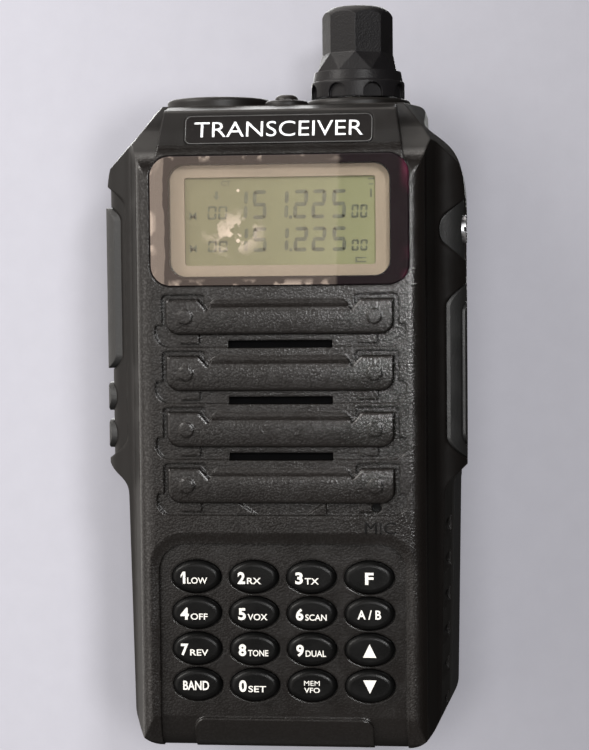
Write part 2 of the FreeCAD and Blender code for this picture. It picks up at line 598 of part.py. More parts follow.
def make_rear_chassis(outer, inner):
    shell = outer.cut(hood_zone(0))
    # room for the pack, below the block that carries the clip screws and the latch
    pack_room = box(-40, 40, BAY_Y, 40, -5, BLOCK_Z)
    shell = shell.cut(pack_room)
    plate_y = BAY_Y - WALL
    hollow = inner.common(box(-40, 40, PART_Y - 1, plate_y, -5, HOOD_Z - 2.2))
    shell = shell.cut(hollow)
    block_room = inner.common(box(-20, 20, PART_Y - 1, BACK_Y - 3.6, BLOCK_Z + 2.0, HOOD_Z - 1.4))
    shell = shell.cut(block_room)
    # open above, so the volume control and the antenna lead reach down from the hood
    shell = shell.cut(box(-20, 20, PART_Y - 1, HOOD_Y - 1.5, HOOD_Z - 3, HOOD_Z + 1))
    cuts = []
    # latch: recess behind, slot for its web, slot for its tongue
    cuts.append(rounded_panel_y(
        0, LATCH_Z + (LATCH_H + LATCH_TRAVEL) / 2, 14.8, LATCH_H + LATCH_TRAVEL + 0.6, 1.0,
        BACK_Y - 1.7, BACK_Y + 2,
    ))
    cuts.append(box(-4.3, 4.3, BACK_Y - 6, BACK_Y + 1, LATCH_Z + 1.2, LATCH_Z + 3.8 + LATCH_TRAVEL))
    cuts.append(box(-4.3, 4.3, 5.8, 7.8, BLOCK_Z - 1, BLOCK_Z + 3))
    # belt clip screw holes
    for x in (-CLIP_HALF, CLIP_HALF):
        cuts.append(disc_y(x, CLIP_Z, BACK_Y - 6, BACK_Y + 1, CLIP_HOLE_R))
    # sockets for the pack's tongues, and the terminal block's window
    for x in (-17.0, 17.0):
        cuts.append(box(x - 3.2, x + 3.2, plate_y - 0.5, BAY_Y + 0.1, 4.4, 6.6))
    cuts.append(box(-9.1, 9.1, plate_y - 1, BAY_Y + 1, 70.9, 78.1))
    for x, z in CHASSIS_SCREWS:
        cuts.append(disc_y(x, z, PART_Y - 1, BAY_Y + 1, 1.15))
        cuts.append(disc_y(x, z, BAY_Y - 1.0, BAY_Y + 1, 2.1))
    cuts.append(gasket_ring(outer, PART_Y - 0.1, PART_Y + 0.45, 0.0))
    cuts += flank_grooves()
    adds = []
    for x, z in CHASSIS_SCREWS:
        adds.append(disc_y(x, z, PART_Y, BAY_Y - 0.5, 2.6))
    for part in adds:
        shell = shell.fuse(part.common(outer))
    for cut in cuts:
        shell = shell.cut(cut)
    return shell


def make_chassis_screws():
    screws = []
    for x, z in CHASSIS_SCREWS:
        shank = disc_y(x, z, -6.0, BAY_Y - 0.8, 0.88)
        head = disc_y(x, z, BAY_Y - 0.98, BAY_Y + 0.02, 1.9)
        drive = box(x - 1.2, x + 1.2, BAY_Y - 0.45, BAY_Y + 1, z - 0.25, z + 0.25)
        cross = box(x - 0.25, x + 0.25, BAY_Y - 0.45, BAY_Y + 1, z - 1.2, z + 1.2)
        screws.append(head.fuse(shank).cut(drive).cut(cross))
    return Part.makeCompound(screws)


# --- display -----------------------------------------------------------------------------------
def make_display_lens():
    lens = rounded_panel_y(0, DISPLAY_Z, LENS_W, LENS_H, LENS_R, FACE_Y - 0.12, FACE_Y + LENS_T - 0.12)
    return lens.makeChamfer(0.2, top_edges(lens, FACE_Y - 0.12))


def make_display_frame():
    y0 = FACE_Y + WALL + 0.05
    plate = rounded_panel_y(0, FRAME_Z, FRAME_W, FRAME_H, 1.0, y0, y0 + 0.6)
    return plate.cut(rounded_panel_y(0, FRAME_Z, GLASS_W, GLASS_H, 0.5, y0 - 1, y0 + 2))


def make_display_panel():
    y0 = FACE_Y + WALL + 0.7
    return box(-18.8, 18.8, y0, y0 + 1.3, DISPLAY_Z - 10.0, DISPLAY_Z + 9.8)


def make_display_backlight():
    y0 = FACE_Y + WALL + 2.05
    plate = box(-18.4, 18.4, y0, CONTROL_BOARD_Y - 0.05, DISPLAY_Z - 9.6, DISPLAY_Z + 9.4)
    return plate.makeFillet(0.6, [e for e in plate.Edges if along(e, Y_AXIS)])


def make_nameplate():
    return nameplate(0.0, 0.05)


# --- keypad ------------------------------------------------------------------------------------
def make_key(x, z):
    crown, seat = FACE_Y - 0.15, FACE_Y + WALL + 0.05
    cap = oval(x, z, KEY_HALF_W, KEY_HALF_H, KEY_END_R, crown, seat + 0.6)
    cap = cap.makeFillet(0.85, top_edges(cap, crown))
    flange = oval(x, z, KEY_HALF_W + 0.6, KEY_HALF_H + 0.27, KEY_END_R, seat, seat + 0.6)
    foot = disc_y(x, z, seat + 0.55, MEMBRANE_Y - KEY_TRAVEL - 0.08, 1.2)
    return cap.fuse(flange).fuse(foot)


def make_keypad_membrane():
    y0, y1 = MEMBRANE_Y, CONTROL_BOARD_Y - 0.25
    sheet = rounded_panel_y(0, 20.0, 40.0, 27.0, 2.0, y0, y1)
    for _, x, z in grid_keys():
        sheet = sheet.cut(disc_y(x, z, y0 + 0.35, y1 + 1, 2.0))
    return sheet


def make_key_domes():
    """Snap discs on the board: each has a flat crown on a conical skirt."""
    rim_y, crown_y = CONTROL_BOARD_Y - 0.02, CONTROL_BOARD_Y - 0.25
    domes = []
    for _, x, z in grid_keys():
        cap = Part.makeCone(0.9, DOME_R, rim_y - crown_y, Vec(x, crown_y, z), Y_AXIS)
        hollow = cap.copy()
        hollow.translate(Vec(0, DOME_SKIN, 0))
        domes.append(cap.cut(hollow))
    return Part.makeCompound(domes)


def make_control_board():
    y0 = CONTROL_BOARD_Y
    board = rounded_panel_y(0, 51.5, 2 * BOARD_HALF, 95.0, 1.5, y0, y0 + CONTROL_BOARD_T)
    return board.cut(disc_y(0, SPEAKER_Z, y0 - 1, y0 + 3, SPEAKER_R + 0.5))


# --- sound -------------------------------------------------------------------------------------
def make_speaker_cloth():
    y0 = FACE_Y + WALL + 0.02
    return disc_y(0, SPEAKER_Z, y0, y0 + 0.2, SPEAKER_R - 0.2)


def make_speaker_basket():
    y0 = FACE_Y + WALL + 0.25
    ring = disc_y(0, SPEAKER_Z, y0, y0 + 1.2, SPEAKER_R).cut(disc_y(0, SPEAKER_Z, y0 - 1, y0 + 3, 15.2))
    cup = Part.makeCone(SPEAKER_R - 1.0, 10.0, 3.4, Vec(0, y0 + 1.0, SPEAKER_Z), Y_AXIS)
    hollow = Part.makeCone(SPEAKER_R - 2.0, 9.2, 3.4, Vec(0, y0 + 0.6, SPEAKER_Z), Y_AXIS)
    cup = cup.cut(hollow).cut(disc_y(0, SPEAKER_Z, y0, y0 + 9, 8.2))
    for i in range(6):
        turn = math.radians(60 * i + 30)
        cup = cup.cut(disc_y(12.6 * math.cos(turn), SPEAKER_Z + 12.6 * math.sin(turn), y0 + 1.3, y0 + 9, 2.0))
    return ring.fuse(cup)


def make_speaker_cone():
    y0 = FACE_Y + WALL + 0.35
    profile = [
        (15.1, y0), (15.1, y0 + 0.25), (13.2, y0 + 0.25), (6.0, y0 + 2.6), (5.4, y0 + 1.9),
        (0, y0 + 0.8), (0, y0 + 0.55), (5.6, y0 + 1.65), (6.2, y0 + 2.3), (13.1, y0),
    ]
    wire = Part.makePolygon([Vec(r, y, SPEAKER_Z) for r, y in profile + profile[:1]])
    return Part.Face(wire).revolve(Vec(0, 0, SPEAKER_Z), Y_AXIS, 360)


def make_speaker_magnet():
    y0 = FACE_Y + WALL + 3.6
    magnet = disc_y(0, SPEAKER_Z, y0, y0 + 3.4, 8.1)
    return magnet.makeChamfer(0.4, top_edges(magnet, y0 + 3.4))


def make_microphone_capsule():
    y0 = FACE_Y + WALL + 0.1
    capsule = disc_y(MIC_X, MIC_Z, y0, y0 + 2.4, 2.9)
    return capsule.cut(disc_y(MIC_X, MIC_Z, y0 - 1, y0 + 0.3, 0.7))


# --- boards ------------------------------------------------------------------------------------
def make_rf_board():
    return rounded_panel_y(0, 49.0, 2 * BOARD_HALF, 90.0, 1.5, RF_BOARD_Y, RF_BOARD_Y + RF_BOARD_T)


def make_shield_cans():
    front, back = RF_BOARD_Y, RF_BOARD_Y + RF_BOARD_T
    cans = []
    for x, z, w, h, y0, y1 in (
        (0, 85.0, 38.0, 16.0, front - 2.6, front),
        (0, 22.0, 38.0, 26.0, front - 2.6, front),
        (-4.0, 62.0, 30.0, 30.0, back, back + 2.8),
    ):
        can = rounded_panel_y(x, z, w, h, 0.8, y0, y1)
        room_low, room_high = (y0 + 0.3, y1 + 1) if y0 < front else (y0 - 1, y1 - 0.3)
        cans.append(can.cut(rounded_panel_y(x, z, w - 0.6, h - 0.6, 0.5, room_low, room_high)))
    return Part.makeCompound(cans)


def make_board_connector():
    y0, y1 = CONTROL_BOARD_Y + CONTROL_BOARD_T, RF_BOARD_Y
    body = box(-9, 9, y0, y1, 36.4, 39.6)
    return body.makeChamfer(0.5, [e for e in body.Edges if along(e, Y_AXIS)])


# --- volume control and knob -------------------------------------------------------------------
def octagon(radius, turn, z):
    points = []
    for i in range(8):
        a = math.radians(turn + 45 * i)
        points.append(Vec(KNOB_X + radius * math.cos(a), CONTROL_Y + radius * math.sin(a), z))
    return Part.makePolygon(points + points[:1])


def octagon_skirt(upper_r, lower_r, z_top, z_low):
    """Sixteen triangles between an octagon and a wider one turned by half a side."""
    up = [v.Point for v in octagon(upper_r, 0, z_top).Vertexes][:8]
    low = [v.Point for v in octagon(lower_r, 22.5, z_low).Vertexes][:8]
    faces = [Part.Face(Part.makePolygon(up + up[:1])), Part.Face(Part.makePolygon(low + low[:1]))]
    for i in range(8):
        nxt = (i + 1) % 8
        faces.append(Part.Face(Part.makePolygon([up[i], low[i], up[nxt], up[i]])))
        faces.append(Part.Face(Part.makePolygon([low[i], up[nxt], low[nxt], low[i]])))
    solid = Part.Solid(Part.Shell(faces))
    solid.fixTolerance(1e-5)
    return solid if solid.Volume > 0 else solid.reversed()


def make_volume_knob():
    skirt_top, flange_top, apex = KNOB_LOW_Z + 2.9, KNOB_LOW_Z + 4.5, KNOB_LOW_Z + 7.6
    upper_r, lower_r, ring_r = 6.05, 7.2, 8.0
    tower = Part.Face(octagon(upper_r, 0, apex)).extrude(Vec(0, 0, KNOB_TOP_Z - apex))
    crown = tube_z(KNOB_X, CONTROL_Y, apex - 1, KNOB_TOP_Z, upper_r + 0.2)
    rim = [e for e in crown.Edges if abs(e.BoundBox.ZMin - KNOB_TOP_Z) < 1e-4]
    tower = tower.common(crown.makeFillet(2.8, rim))
    skirt = octagon_skirt(upper_r, lower_r, apex, flange_top)
    flange = Part.makeCone(7.7, 7.4, flange_top - skirt_top, Vec(KNOB_X, CONTROL_Y, skirt_top), Z_AXIS)
    ring = tube_z(KNOB_X, CONTROL_Y, KNOB_LOW_Z, skirt_top, ring_r)
    lip = [e for e in ring.Edges if abs(e.BoundBox.ZMin - skirt_top) < 1e-4 and len(e.Vertexes) < 2]
    ring = ring.makeFillet(0.45, lip)
    for i in range(8):
        a = math.radians(22.5 + 45 * i)
        x, y = KNOB_X + ring_r * math.cos(a), CONTROL_Y + ring_r * math.sin(a)
        arch = Part.makeCylinder(1.6, 1.8, Vec(0, 0, 0), X_AXIS)
        arch = arch.fuse(box(0, 1.8, -1.6, 1.6, -3, 0))
        arch.rotate(Vec(0, 0, 0), Z_AXIS, 22.5 + 45 * i)
        arch.translate(Vec(x - 0.75 * math.cos(a), y - 0.75 * math.sin(a), KNOB_LOW_Z + 0.7))
        ring = ring.cut(arch)
    knob = ring.fuse(flange).fuse(skirt).fuse(tower)
    knob = knob.cut(tube_z(KNOB_X, CONTROL_Y, KNOB_LOW_Z - 1, KNOB_LOW_Z + 3.2, 5.9))
    return knob.cut(shaft_solid(0.0, KNOB_LOW_Z, KNOB_TOP_Z - 2.5))


def shaft_solid(clear, z0, z1):
    """The control's D-shaped shaft."""
    shaft = tube_z(KNOB_X, CONTROL_Y, z0, z1, SHAFT_R - clear)
    return shaft.cut(box(KNOB_X - 5, KNOB_X + 5, CONTROL_Y + 1.3 - clear, CONTROL_Y + 6, DECK_Z + 2.6, z1 + 1))


def make_pot_shaft():
    return shaft_solid(0.03, 102.4, KNOB_TOP_Z - 2.8)


def make_volume_pot():
    body = box(KNOB_X - 5.2, KNOB_X + 5.2, CONTROL_Y - 4.6, CONTROL_Y + 5.0, 99.4, DECK_Z - WALL - 0.05)
    bush = tube_z(KNOB_X, CONTROL_Y, 103, DECK_Z + 2.4, BUSH_R)
    pot = body.fuse(bush)
    return pot.cut(tube_z(KNOB_X, CONTROL_Y, 102.0, DECK_Z + 4, SHAFT_R + 0.05))


def make_pot_nut():
    hexagon = []
    for i in range(6):
        a = math.radians(60 * i)
        hexagon.append(Vec(KNOB_X + 5.3 * math.cos(a), CONTROL_Y + 5.3 * math.sin(a), DECK_Z - 0.15))
    nut = Part.Face(Part.makePolygon(hexagon + hexagon[:1])).extrude(Vec(0, 0, 1.6))
    return nut.cut(tube_z(KNOB_X, CONTROL_Y, DECK_Z - 2, DECK_Z + 4, BUSH_R + 0.02))


# --- antenna port and status lamp --------------------------------------------------------------
def make_antenna_connector():
    flange = tube_z(PORT_X, CONTROL_Y, PORT_WELL_Z - 2.4, PORT_WELL_Z - 1.45, 5.0)
    shank = tube_z(PORT_X, CONTROL_Y, PORT_WELL_Z - 5.0, STUD_LOW_Z + 0.1, SHANK_R)
    stud = tube_z(PORT_X, CONTROL_Y, STUD_LOW_Z, STUD_TOP_Z, STUD_R)
    rim = [e for e in stud.Edges if abs(e.BoundBox.ZMin - STUD_TOP_Z) < 1e-4 and len(e.Vertexes) < 2]
    body = stud.makeChamfer(0.3, rim).fuse(shank).fuse(flange)
    return body.cut(tube_z(PORT_X, CONTROL_Y, PORT_WELL_Z - 6, STUD_TOP_Z + 1, 2.1))


def make_antenna_insulator():
    core = tube_z(PORT_X, CONTROL_Y, PORT_WELL_Z - 5.0, STUD_TOP_Z - 0.6, 2.08)
    return core.cut(tube_z(PORT_X, CONTROL_Y, PORT_WELL_Z - 6, STUD_TOP_Z, 0.66))


def make_antenna_contact():
    pin = tube_z(PORT_X, CONTROL_Y, PORT_WELL_Z - 7.0, STUD_TOP_Z - 0.7, 0.64)
    return pin.cut(tube_z(PORT_X, CONTROL_Y, STUD_TOP_Z - 3.4, STUD_TOP_Z, 0.4))


def make_status_lens():
    top, r = DECK_Z + 1.9, 1.98
    pipe = tube_z(STATUS_X, STATUS_Y, 103.0, top, r)
    rim = [e for e in pipe.Edges if abs(e.BoundBox.ZMin - top) < 1e-4 and len(e.Vertexes) < 2]
    return pipe.makeFillet(0.95, rim)


# --- left side: PTT and two keys ---------------------------------------------------------------
def make_ptt_paddle():
    z_mid, z_len = (PTT_LOW_Z + PTT_TOP_Z) / 2, PTT_TOP_Z - PTT_LOW_Z - 0.5
    pad = rounded_panel_x(PTT_Y, z_mid, PTT_W - 0.5, z_len, 2.4, -33, -25)
    pad = pad.common(side_skin(0.1)).cut(side_skin(-2.4))
    for i in range(5):
        z = z_mid - 6.0 + 2.0 * i
        groove = Part.makeCylinder(0.5, 5.0, Vec(-CHEEK_HALF - 0.35, PTT_Y - 2.0, z), Y_AXIS)
        pad = pad.cut(groove)
    x0 = -CHEEK_HALF + 1.8
    lug = box(x0, -CHEEK_HALF + 4.6, PTT_Y - 2.6, PTT_Y + 2.6, PTT_TOP_Z - 4.3, PTT_TOP_Z - 1.1)
    stem = box(x0, -CHEEK_HALF + 3.2, PTT_Y - 1.4, PTT_Y + 1.4, PTT_LOW_Z + 5.0, PTT_LOW_Z + 8.0)
    return pad.fuse(lug).fuse(stem).cut(ptt_axle(PTT_W, 0.55))


def ptt_axle(length, radius):
    return Part.makeCylinder(
        radius, length, Vec(-CHEEK_HALF + 3.4, PTT_Y - length / 2, PTT_TOP_Z - 2.7), Y_AXIS
    )


def make_ptt_pin():
    return ptt_axle(7.8, 0.5)


def make_side_key(z):
    pad = rounded_panel_x(PTT_Y, z, SIDE_KEY_W - 0.4, SIDE_KEY_H - 0.4, 2.2, -33, -25)
    pad = pad.common(side_skin(0.1)).cut(side_skin(-2.4))
    pip = Part.makeSphere(1.2, Vec(-CHEEK_HALF + 1.1, PTT_Y, z))
    stem = box(-CHEEK_HALF + 2.0, -CHEEK_HALF + 3.7, PTT_Y - 1.2, PTT_Y + 1.2, z - 1.2, z + 1.2)
    return pad.fuse(pip).fuse(stem)


def make_side_switches():
    inner_x = -CHEEK_HALF + 4.3
    strip = box(inner_x + 0.9, inner_x + 1.7, PTT_Y - 3.2, PTT_Y + 3.2, 49.0, 73.5)
    parts = [strip]
    for z in list(SIDE_KEY_Z.values()) + [PTT_LOW_Z + 6.5]:
        parts.append(box(inner_x, inner_x + 0.9, PTT_Y - 1.5, PTT_Y + 1.5, z - 1.5, z + 1.5))
    solid = parts[0]
    for part in parts[1:]:
        solid = solid.fuse(part)
    return solid


# --- right side: jacks under a rubber cover ----------------------------------------------------
def make_jack_block():
    seat_x = CHEEK_HALF - COVER_T - WALL - 0.2
    block = box(seat_x - 4.2, seat_x, COVER_Y - 2.9, COVER_Y + 3.9, 50.5, 73.0)
    for z, r in JACK_Z.values():
        block = block.fuse(disc_x(COVER_Y, z, seat_x - 0.5, seat_x + 1.6, r + 1.5))
    for z, r in JACK_Z.values():
        block = block.cut(disc_x(COVER_Y, z, seat_x - 9, seat_x + 3, r))
    return block


def make_accessory_cover():
    """The rubber flap, with a boss that closes each jack's mouth."""
    z_mid, z_len = (COVER_LOW_Z + COVER_TOP_Z) / 2, COVER_TOP_Z - COVER_LOW_Z
    flap = rounded_panel_x(COVER_Y, z_mid, COVER_W, z_len, 4.0, 24, 33)
    flap = flap.common(side_skin(0.1)).cut(side_skin(-COVER_T))
    rim = rounded_panel_x(COVER_Y, z_mid - 0.4, COVER_W - 2.4, z_len - 4.2, 2.6, 24, 33)
    land = rounded_panel_x(COVER_Y, z_mid - 0.4, COVER_W - 3.8, z_len - 5.6, 2.0, 24, 33)
    flap = flap.cut(rim.cut(land).cut(side_skin(-0.35)))
    for z, r in JACK_Z.values():
        flap = flap.fuse(disc_x(COVER_Y, z, CHEEK_HALF - COVER_T - 0.2, CHEEK_HALF - 1.0, r - 0.3))
    return flap


def make_cover_anchor():
    pad = disc_x(COVER_Y, ANCHOR_Z, 24, 33, ANCHOR_R - 0.1)
    neck = box(24, 33, COVER_Y - 2.3, COVER_Y + 2.3, COVER_TOP_Z + 0.25, ANCHOR_Z - 3)
    pad = pad.fuse(neck).common(side_skin(-0.3)).cut(side_skin(-COVER_T))
    dish = Part.makeSphere(9.0, Vec(CHEEK_HALF + 7.6, COVER_Y, ANCHOR_Z))
    pad = pad.cut(dish)
    return pad.cut(disc_x(COVER_Y, ANCHOR_Z, 20, 33, 1.15))


def make_cover_screw():
    floor_x = CHEEK_HALF - 1.0
    head = disc_x(COVER_Y, ANCHOR_Z, floor_x, floor_x + 1.2, 2.4)
    edges = [e for e in head.Edges if abs(e.BoundBox.XMin - floor_x - 1.2) < 1e-4 and len(e.Vertexes) < 2]
    head = head.makeFillet(0.3, edges)
    head = head.cut(box(floor_x + 0.7, floor_x + 2, COVER_Y - 3, COVER_Y + 3, ANCHOR_Z - 0.35, ANCHOR_Z + 0.35))
    return head.fuse(disc_x(COVER_Y, ANCHOR_Z, CHEEK_HALF - 6.5, floor_x + 0.1, 1.08))


# --- battery pack, its contacts and latch ------------------------------------------------------
def make_terminal_block():
    block = box(-9.0, 9.0, 0.8, BAY_Y - 0.4, 71.0, 78.0)
    for x in (-5.6, 0.0, 5.6):
        block = block.cut(box(x - 1.3, x + 1.3, 2.4, BAY_Y + 1, 71.8, 77.2))
    return block


def make_battery_contacts():
    springs = []
    for x in (-5.6, 0.0, 5.6):
        foot = box(x - 1.0, x + 1.0, 2.45, 2.75, 72.0, 77.0)
        rise = prism(
            [(x - 1.0, 2.7, 72.0), (x - 1.0, 2.7, 72.6), (x - 1.0, 4.9, 74.8), (x - 1.0, 4.9, 74.2)],
            Vec(2.0, 0, 0),
        )
        springs.append(foot.fuse(rise))
    return Part.makeCompound(springs)


def pack_zone(outer, inset):
    """The pack's share of the envelope, pulled in by inset."""
    room = box(
        -PACK_HALF + inset, PACK_HALF - inset, PACK_Y + inset, 40, PACK_LOW_Z + inset, PACK_TOP_Z - inset
    )
    return outer.common(room)


def make_battery_tray(outer):
    tray = pack_zone(outer, 0).common(box(-40, 40, 0, PACK_SPLIT_Y, -5, 140))
    half = PACK_HALF - 3.4
    tray = tray.cut(box(-half, half, PACK_Y + 1.2, 20, PACK_LOW_Z + 1.4, PACK_TOP_Z - 1.4))
    tray = tray.cut(box(-4.6, 4.6, PACK_Y - 1, 8.0, PACK_TOP_Z - 1.2, PACK_TOP_Z + 1))
    for x in (-17.0, 17.0):
        tongue = box(x - 3.0, x + 3.0, BAY_Y - 1.6, PACK_Y + 0.5, 4.6, 6.4)
        tray = tray.fuse(tongue)
    for x in (-5.6, 0.0, 5.6):
        tray = tray.fuse(box(x - 1.6, x + 1.6, PACK_Y - 0.05, PACK_Y + 1, 71.6, 77.4))
    return tray


def make_battery_cover(outer, inner):
    shell = pack_zone(outer, 0).common(box(-40, 40, PACK_SPLIT_Y, 40, -5, 140))
    half = PACK_HALF - 3.4
    room = box(-half, half, 0, BACK_Y - 1.4, PACK_LOW_Z + 1.6, PACK_TOP_Z - 1.6)
    shell = shell.cut(room.common(inner))
    shell = shell.cut(rounded_panel_y(0, 44.0, 40.0, 52.0, 2.5, BACK_Y - 0.4, BACK_Y + 1))
    for i in range(5):
        z = 77.0 + i * 1.8
        shell = shell.cut(box(-12, 12, BACK_Y - 0.5, BACK_Y + 1, z - 0.45, z + 0.45))
    # channel in the upper rim, where the latch's tongue drops in
    return shell.cut(box(-4.6, 4.6, PACK_SPLIT_Y - 1, BACK_Y + 1, PACK_TOP_Z - 1.2, PACK_TOP_Z + 1))


def make_battery_cells():
    cells = []
    for z in (5.4, 41.6):
        cell = box(-25.0, 25.0, PACK_Y + 1.4, PACK_Y + 10.4, z, z + 35.4)
        cells.append(cell.makeFillet(2.6, [e for e in cell.Edges if along(e, Z_AXIS)]))
    return Part.makeCompound(cells)


def make_battery_latch():
    button = rounded_panel_y(0, LATCH_Z + LATCH_H / 2, 14.2, LATCH_H, 0.8, BACK_Y - 1.5, BACK_Y)
    for i in range(3):
        z = LATCH_Z + 1.3 + i * 1.2
        button = button.cut(box(-6, 6, BACK_Y - 0.35, BACK_Y + 1, z - 0.25, z + 0.25))
    web = box(-4.0, 4.0, 6.2, BACK_Y - 1.0, LATCH_Z + 1.5, LATCH_Z + 3.5)
    tongue = box(-4.0, 4.0, 6.2, 7.5, PACK_TOP_Z + 0.15, LATCH_Z + 3.0)
    return button.fuse(web).fuse(tongue)


def make_latch_spring():
    low, high, r, wire_r = LATCH_Z + 3.55, HOOD_Z - 1.45, 1.7, 0.25
    turns = 5
    helix = Part.makeHelix((high - low - 2 * wire_r) / turns, high - low - 2 * wire_r, r)
    section = Part.Wire(Part.makeCircle(wire_r, Vec(r, 0, 0), Y_AXIS))
    coil = Part.Wire(helix).makePipeShell([section], True, True)
    coil.translate(Vec(0, 11.0, low + wire_r))
    return coil


def main():
    outer, inner = envelope(0.0), envelope(WALL)
    nodes = {
        "front_housing": make_front_housing(outer, inner),
        "rear_chassis": make_rear_chassis(outer, inner),
        "case_gasket": gasket_ring(outer, PART_Y - 0.4, PART_Y + 0.4, 0.05),
        "chassis_screws": make_chassis_screws(),
        "nameplate": make_nameplate(),
        "display_lens": make_display_lens(),
        "display_frame": make_display_frame(),
        "display_panel": make_display_panel(),
        "display_backlight": make_display_backlight(),
        "keypad_membrane": make_keypad_membrane(),
        "key_domes": make_key_domes(),
        "control_board": make_control_board(),
        "speaker_cloth": make_speaker_cloth(),
        "speaker_basket": make_speaker_basket(),
        "speaker_cone": make_speaker_cone(),
        "speaker_magnet": make_speaker_magnet(),
        "microphone_capsule": make_microphone_capsule(),
        "rf_board": make_rf_board(),
        "shield_cans": make_shield_cans(),
        "board_connector": make_board_connector(),
        "volume_knob": make_volume_knob(),
        "volume_pot": make_volume_pot(),
        "pot_shaft": make_pot_shaft(),
        "pot_nut": make_pot_nut(),
        "antenna_connector": make_antenna_connector(),
        "antenna_insulator": make_antenna_insulator(),
        "antenna_contact": make_antenna_contact(),
        "status_lens": make_status_lens(),
        "ptt_paddle": make_ptt_paddle(),
        "ptt_pin": make_ptt_pin(),
        "side_switches": make_side_switches(),
        "jack_block": make_jack_block(),
        "accessory_cover": make_accessory_cover(),
        "cover_anchor": make_cover_anchor(),
        "cover_screw": make_cover_screw(),
        "terminal_block": make_terminal_block(),
        "battery_contacts": make_battery_contacts(),
        "battery_tray": make_battery_tray(outer),
        "battery_cover": make_battery_cover(outer, inner),
        "battery_cells": make_battery_cells(),
        "battery_latch": make_battery_latch(),
        "latch_spring": make_latch_spring(),
    }
    for name, z in SIDE_KEY_Z.items():
        nodes[name] = make_side_key(z)
    for name, x, z in grid_keys():
        nodes[name] = make_key(x, z)

    os.makedirs("parts", exist_ok=True)
    for name, shape in nodes.items():
        solids = shape.Solids
        state = "ok" if shape.isValid() and solids else "BAD"
        print(f"{name:20s} {state} solids={len(solids)} volume={shape.Volume:.1f}")
        shape.exportStep(f"parts/{name}.step")
    print(len(nodes), "nodes")


main()
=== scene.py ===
import math

import bmesh
import bpy
from mathutils import Matrix, Vector


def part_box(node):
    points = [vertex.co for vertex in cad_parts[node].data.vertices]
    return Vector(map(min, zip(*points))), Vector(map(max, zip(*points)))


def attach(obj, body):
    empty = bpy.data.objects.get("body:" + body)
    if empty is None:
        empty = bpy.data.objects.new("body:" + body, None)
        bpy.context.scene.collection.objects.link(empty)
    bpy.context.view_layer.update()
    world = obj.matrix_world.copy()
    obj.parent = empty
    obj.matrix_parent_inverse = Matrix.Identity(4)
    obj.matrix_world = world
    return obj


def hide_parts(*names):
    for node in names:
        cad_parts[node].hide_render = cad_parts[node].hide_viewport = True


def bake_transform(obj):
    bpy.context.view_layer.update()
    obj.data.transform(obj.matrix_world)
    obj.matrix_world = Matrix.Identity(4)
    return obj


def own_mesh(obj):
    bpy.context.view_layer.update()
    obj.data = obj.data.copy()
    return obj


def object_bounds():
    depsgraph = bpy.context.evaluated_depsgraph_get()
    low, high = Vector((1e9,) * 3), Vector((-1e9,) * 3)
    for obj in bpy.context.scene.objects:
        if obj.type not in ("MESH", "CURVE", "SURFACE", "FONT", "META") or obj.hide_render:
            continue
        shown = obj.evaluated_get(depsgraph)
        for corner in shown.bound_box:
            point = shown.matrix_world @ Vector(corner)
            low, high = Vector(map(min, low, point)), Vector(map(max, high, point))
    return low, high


# Looks of the handheld aviation radio: materials, markings, soft parts, studio and camera.
# Metres, in the frame of the CAD model: front towards -Y, +Z up, the radio stands on z = 0.

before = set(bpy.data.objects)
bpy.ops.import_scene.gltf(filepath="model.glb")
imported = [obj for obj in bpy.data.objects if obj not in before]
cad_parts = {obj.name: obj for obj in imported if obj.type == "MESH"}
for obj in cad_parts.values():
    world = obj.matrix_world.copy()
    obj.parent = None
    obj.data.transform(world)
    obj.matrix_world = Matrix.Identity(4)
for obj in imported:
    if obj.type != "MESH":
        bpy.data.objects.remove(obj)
cad_low, cad_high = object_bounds()

MM = 0.001
BARS_PROUD = 0.92 * MM                                # how far the louvre bars stand off the face
FACE_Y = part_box("front_housing")[0].y + BARS_PROUD    # the flat front face
WINDOW_Z = sum(corner.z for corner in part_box("display_lens")) / 2
HEADER_Z = 100.2 * MM                                 # the smooth header starts above this
LOUVRES_TOP_Z, LOUVRE_PITCH = 76.0 * MM, 9.3 * MM
RECESS_TOP_Z = 34.7 * MM                              # the keypad's recess, open at the foot


# --- node graphs -------------------------------------------------------------------------------
class Nodes:
    """Short calls for the nodes of one tree. Every value may be a number or a socket."""

    def __init__(self, tree, output):
        self.tree = tree
        tree.nodes.clear()
        self.out = tree.nodes.new(output)

    def feed(self, socket, value):
        if isinstance(value, bpy.types.NodeSocket):
            self.tree.links.new(value, socket)
        else:
            socket.default_value = value

    def node(self, kind, inputs=None, **settings):
        made = self.tree.nodes.new(kind)
        for key, value in settings.items():
            setattr(made, key, value)
        for key, value in (inputs or {}).items():
            self.feed(made.inputs[key], value)
        return made

    def math(self, operation, a, b=0.0, clamp=False):
        return self.node("ShaderNodeMath", {0: a, 1: b}, operation=operation, use_clamp=clamp).outputs[0]

    def times(self, first, *others):
        for other in others:
            first = self.math("MULTIPLY", first, other)
        return first

    def plus(self, a, b):
        return self.math("ADD", a, b)

    def minus(self, a, b):
        return self.math("SUBTRACT", a, b)

    def dot(self, a, b):
        return self.node("ShaderNodeVectorMath", {0: a, 1: b}, operation="DOT_PRODUCT").outputs["Value"]

    def ramp(self, value, low, high, out_low=0.0, out_high=1.0, smooth=False):
        made = self.node("ShaderNodeMapRange", {
            "Value": value, "From Min": low, "From Max": high, "To Min": out_low, "To Max": out_high,
        }, interpolation_type="SMOOTHSTEP" if smooth else "LINEAR")
        return made.outputs["Result"]

    def mix_shaders(self, share, a, b):
        return self.node("ShaderNodeMixShader", {0: share, 1: a, 2: b}).outputs[0]

    def finish(self, shader):
        self.tree.links.new(shader, self.out.inputs["Surface"])


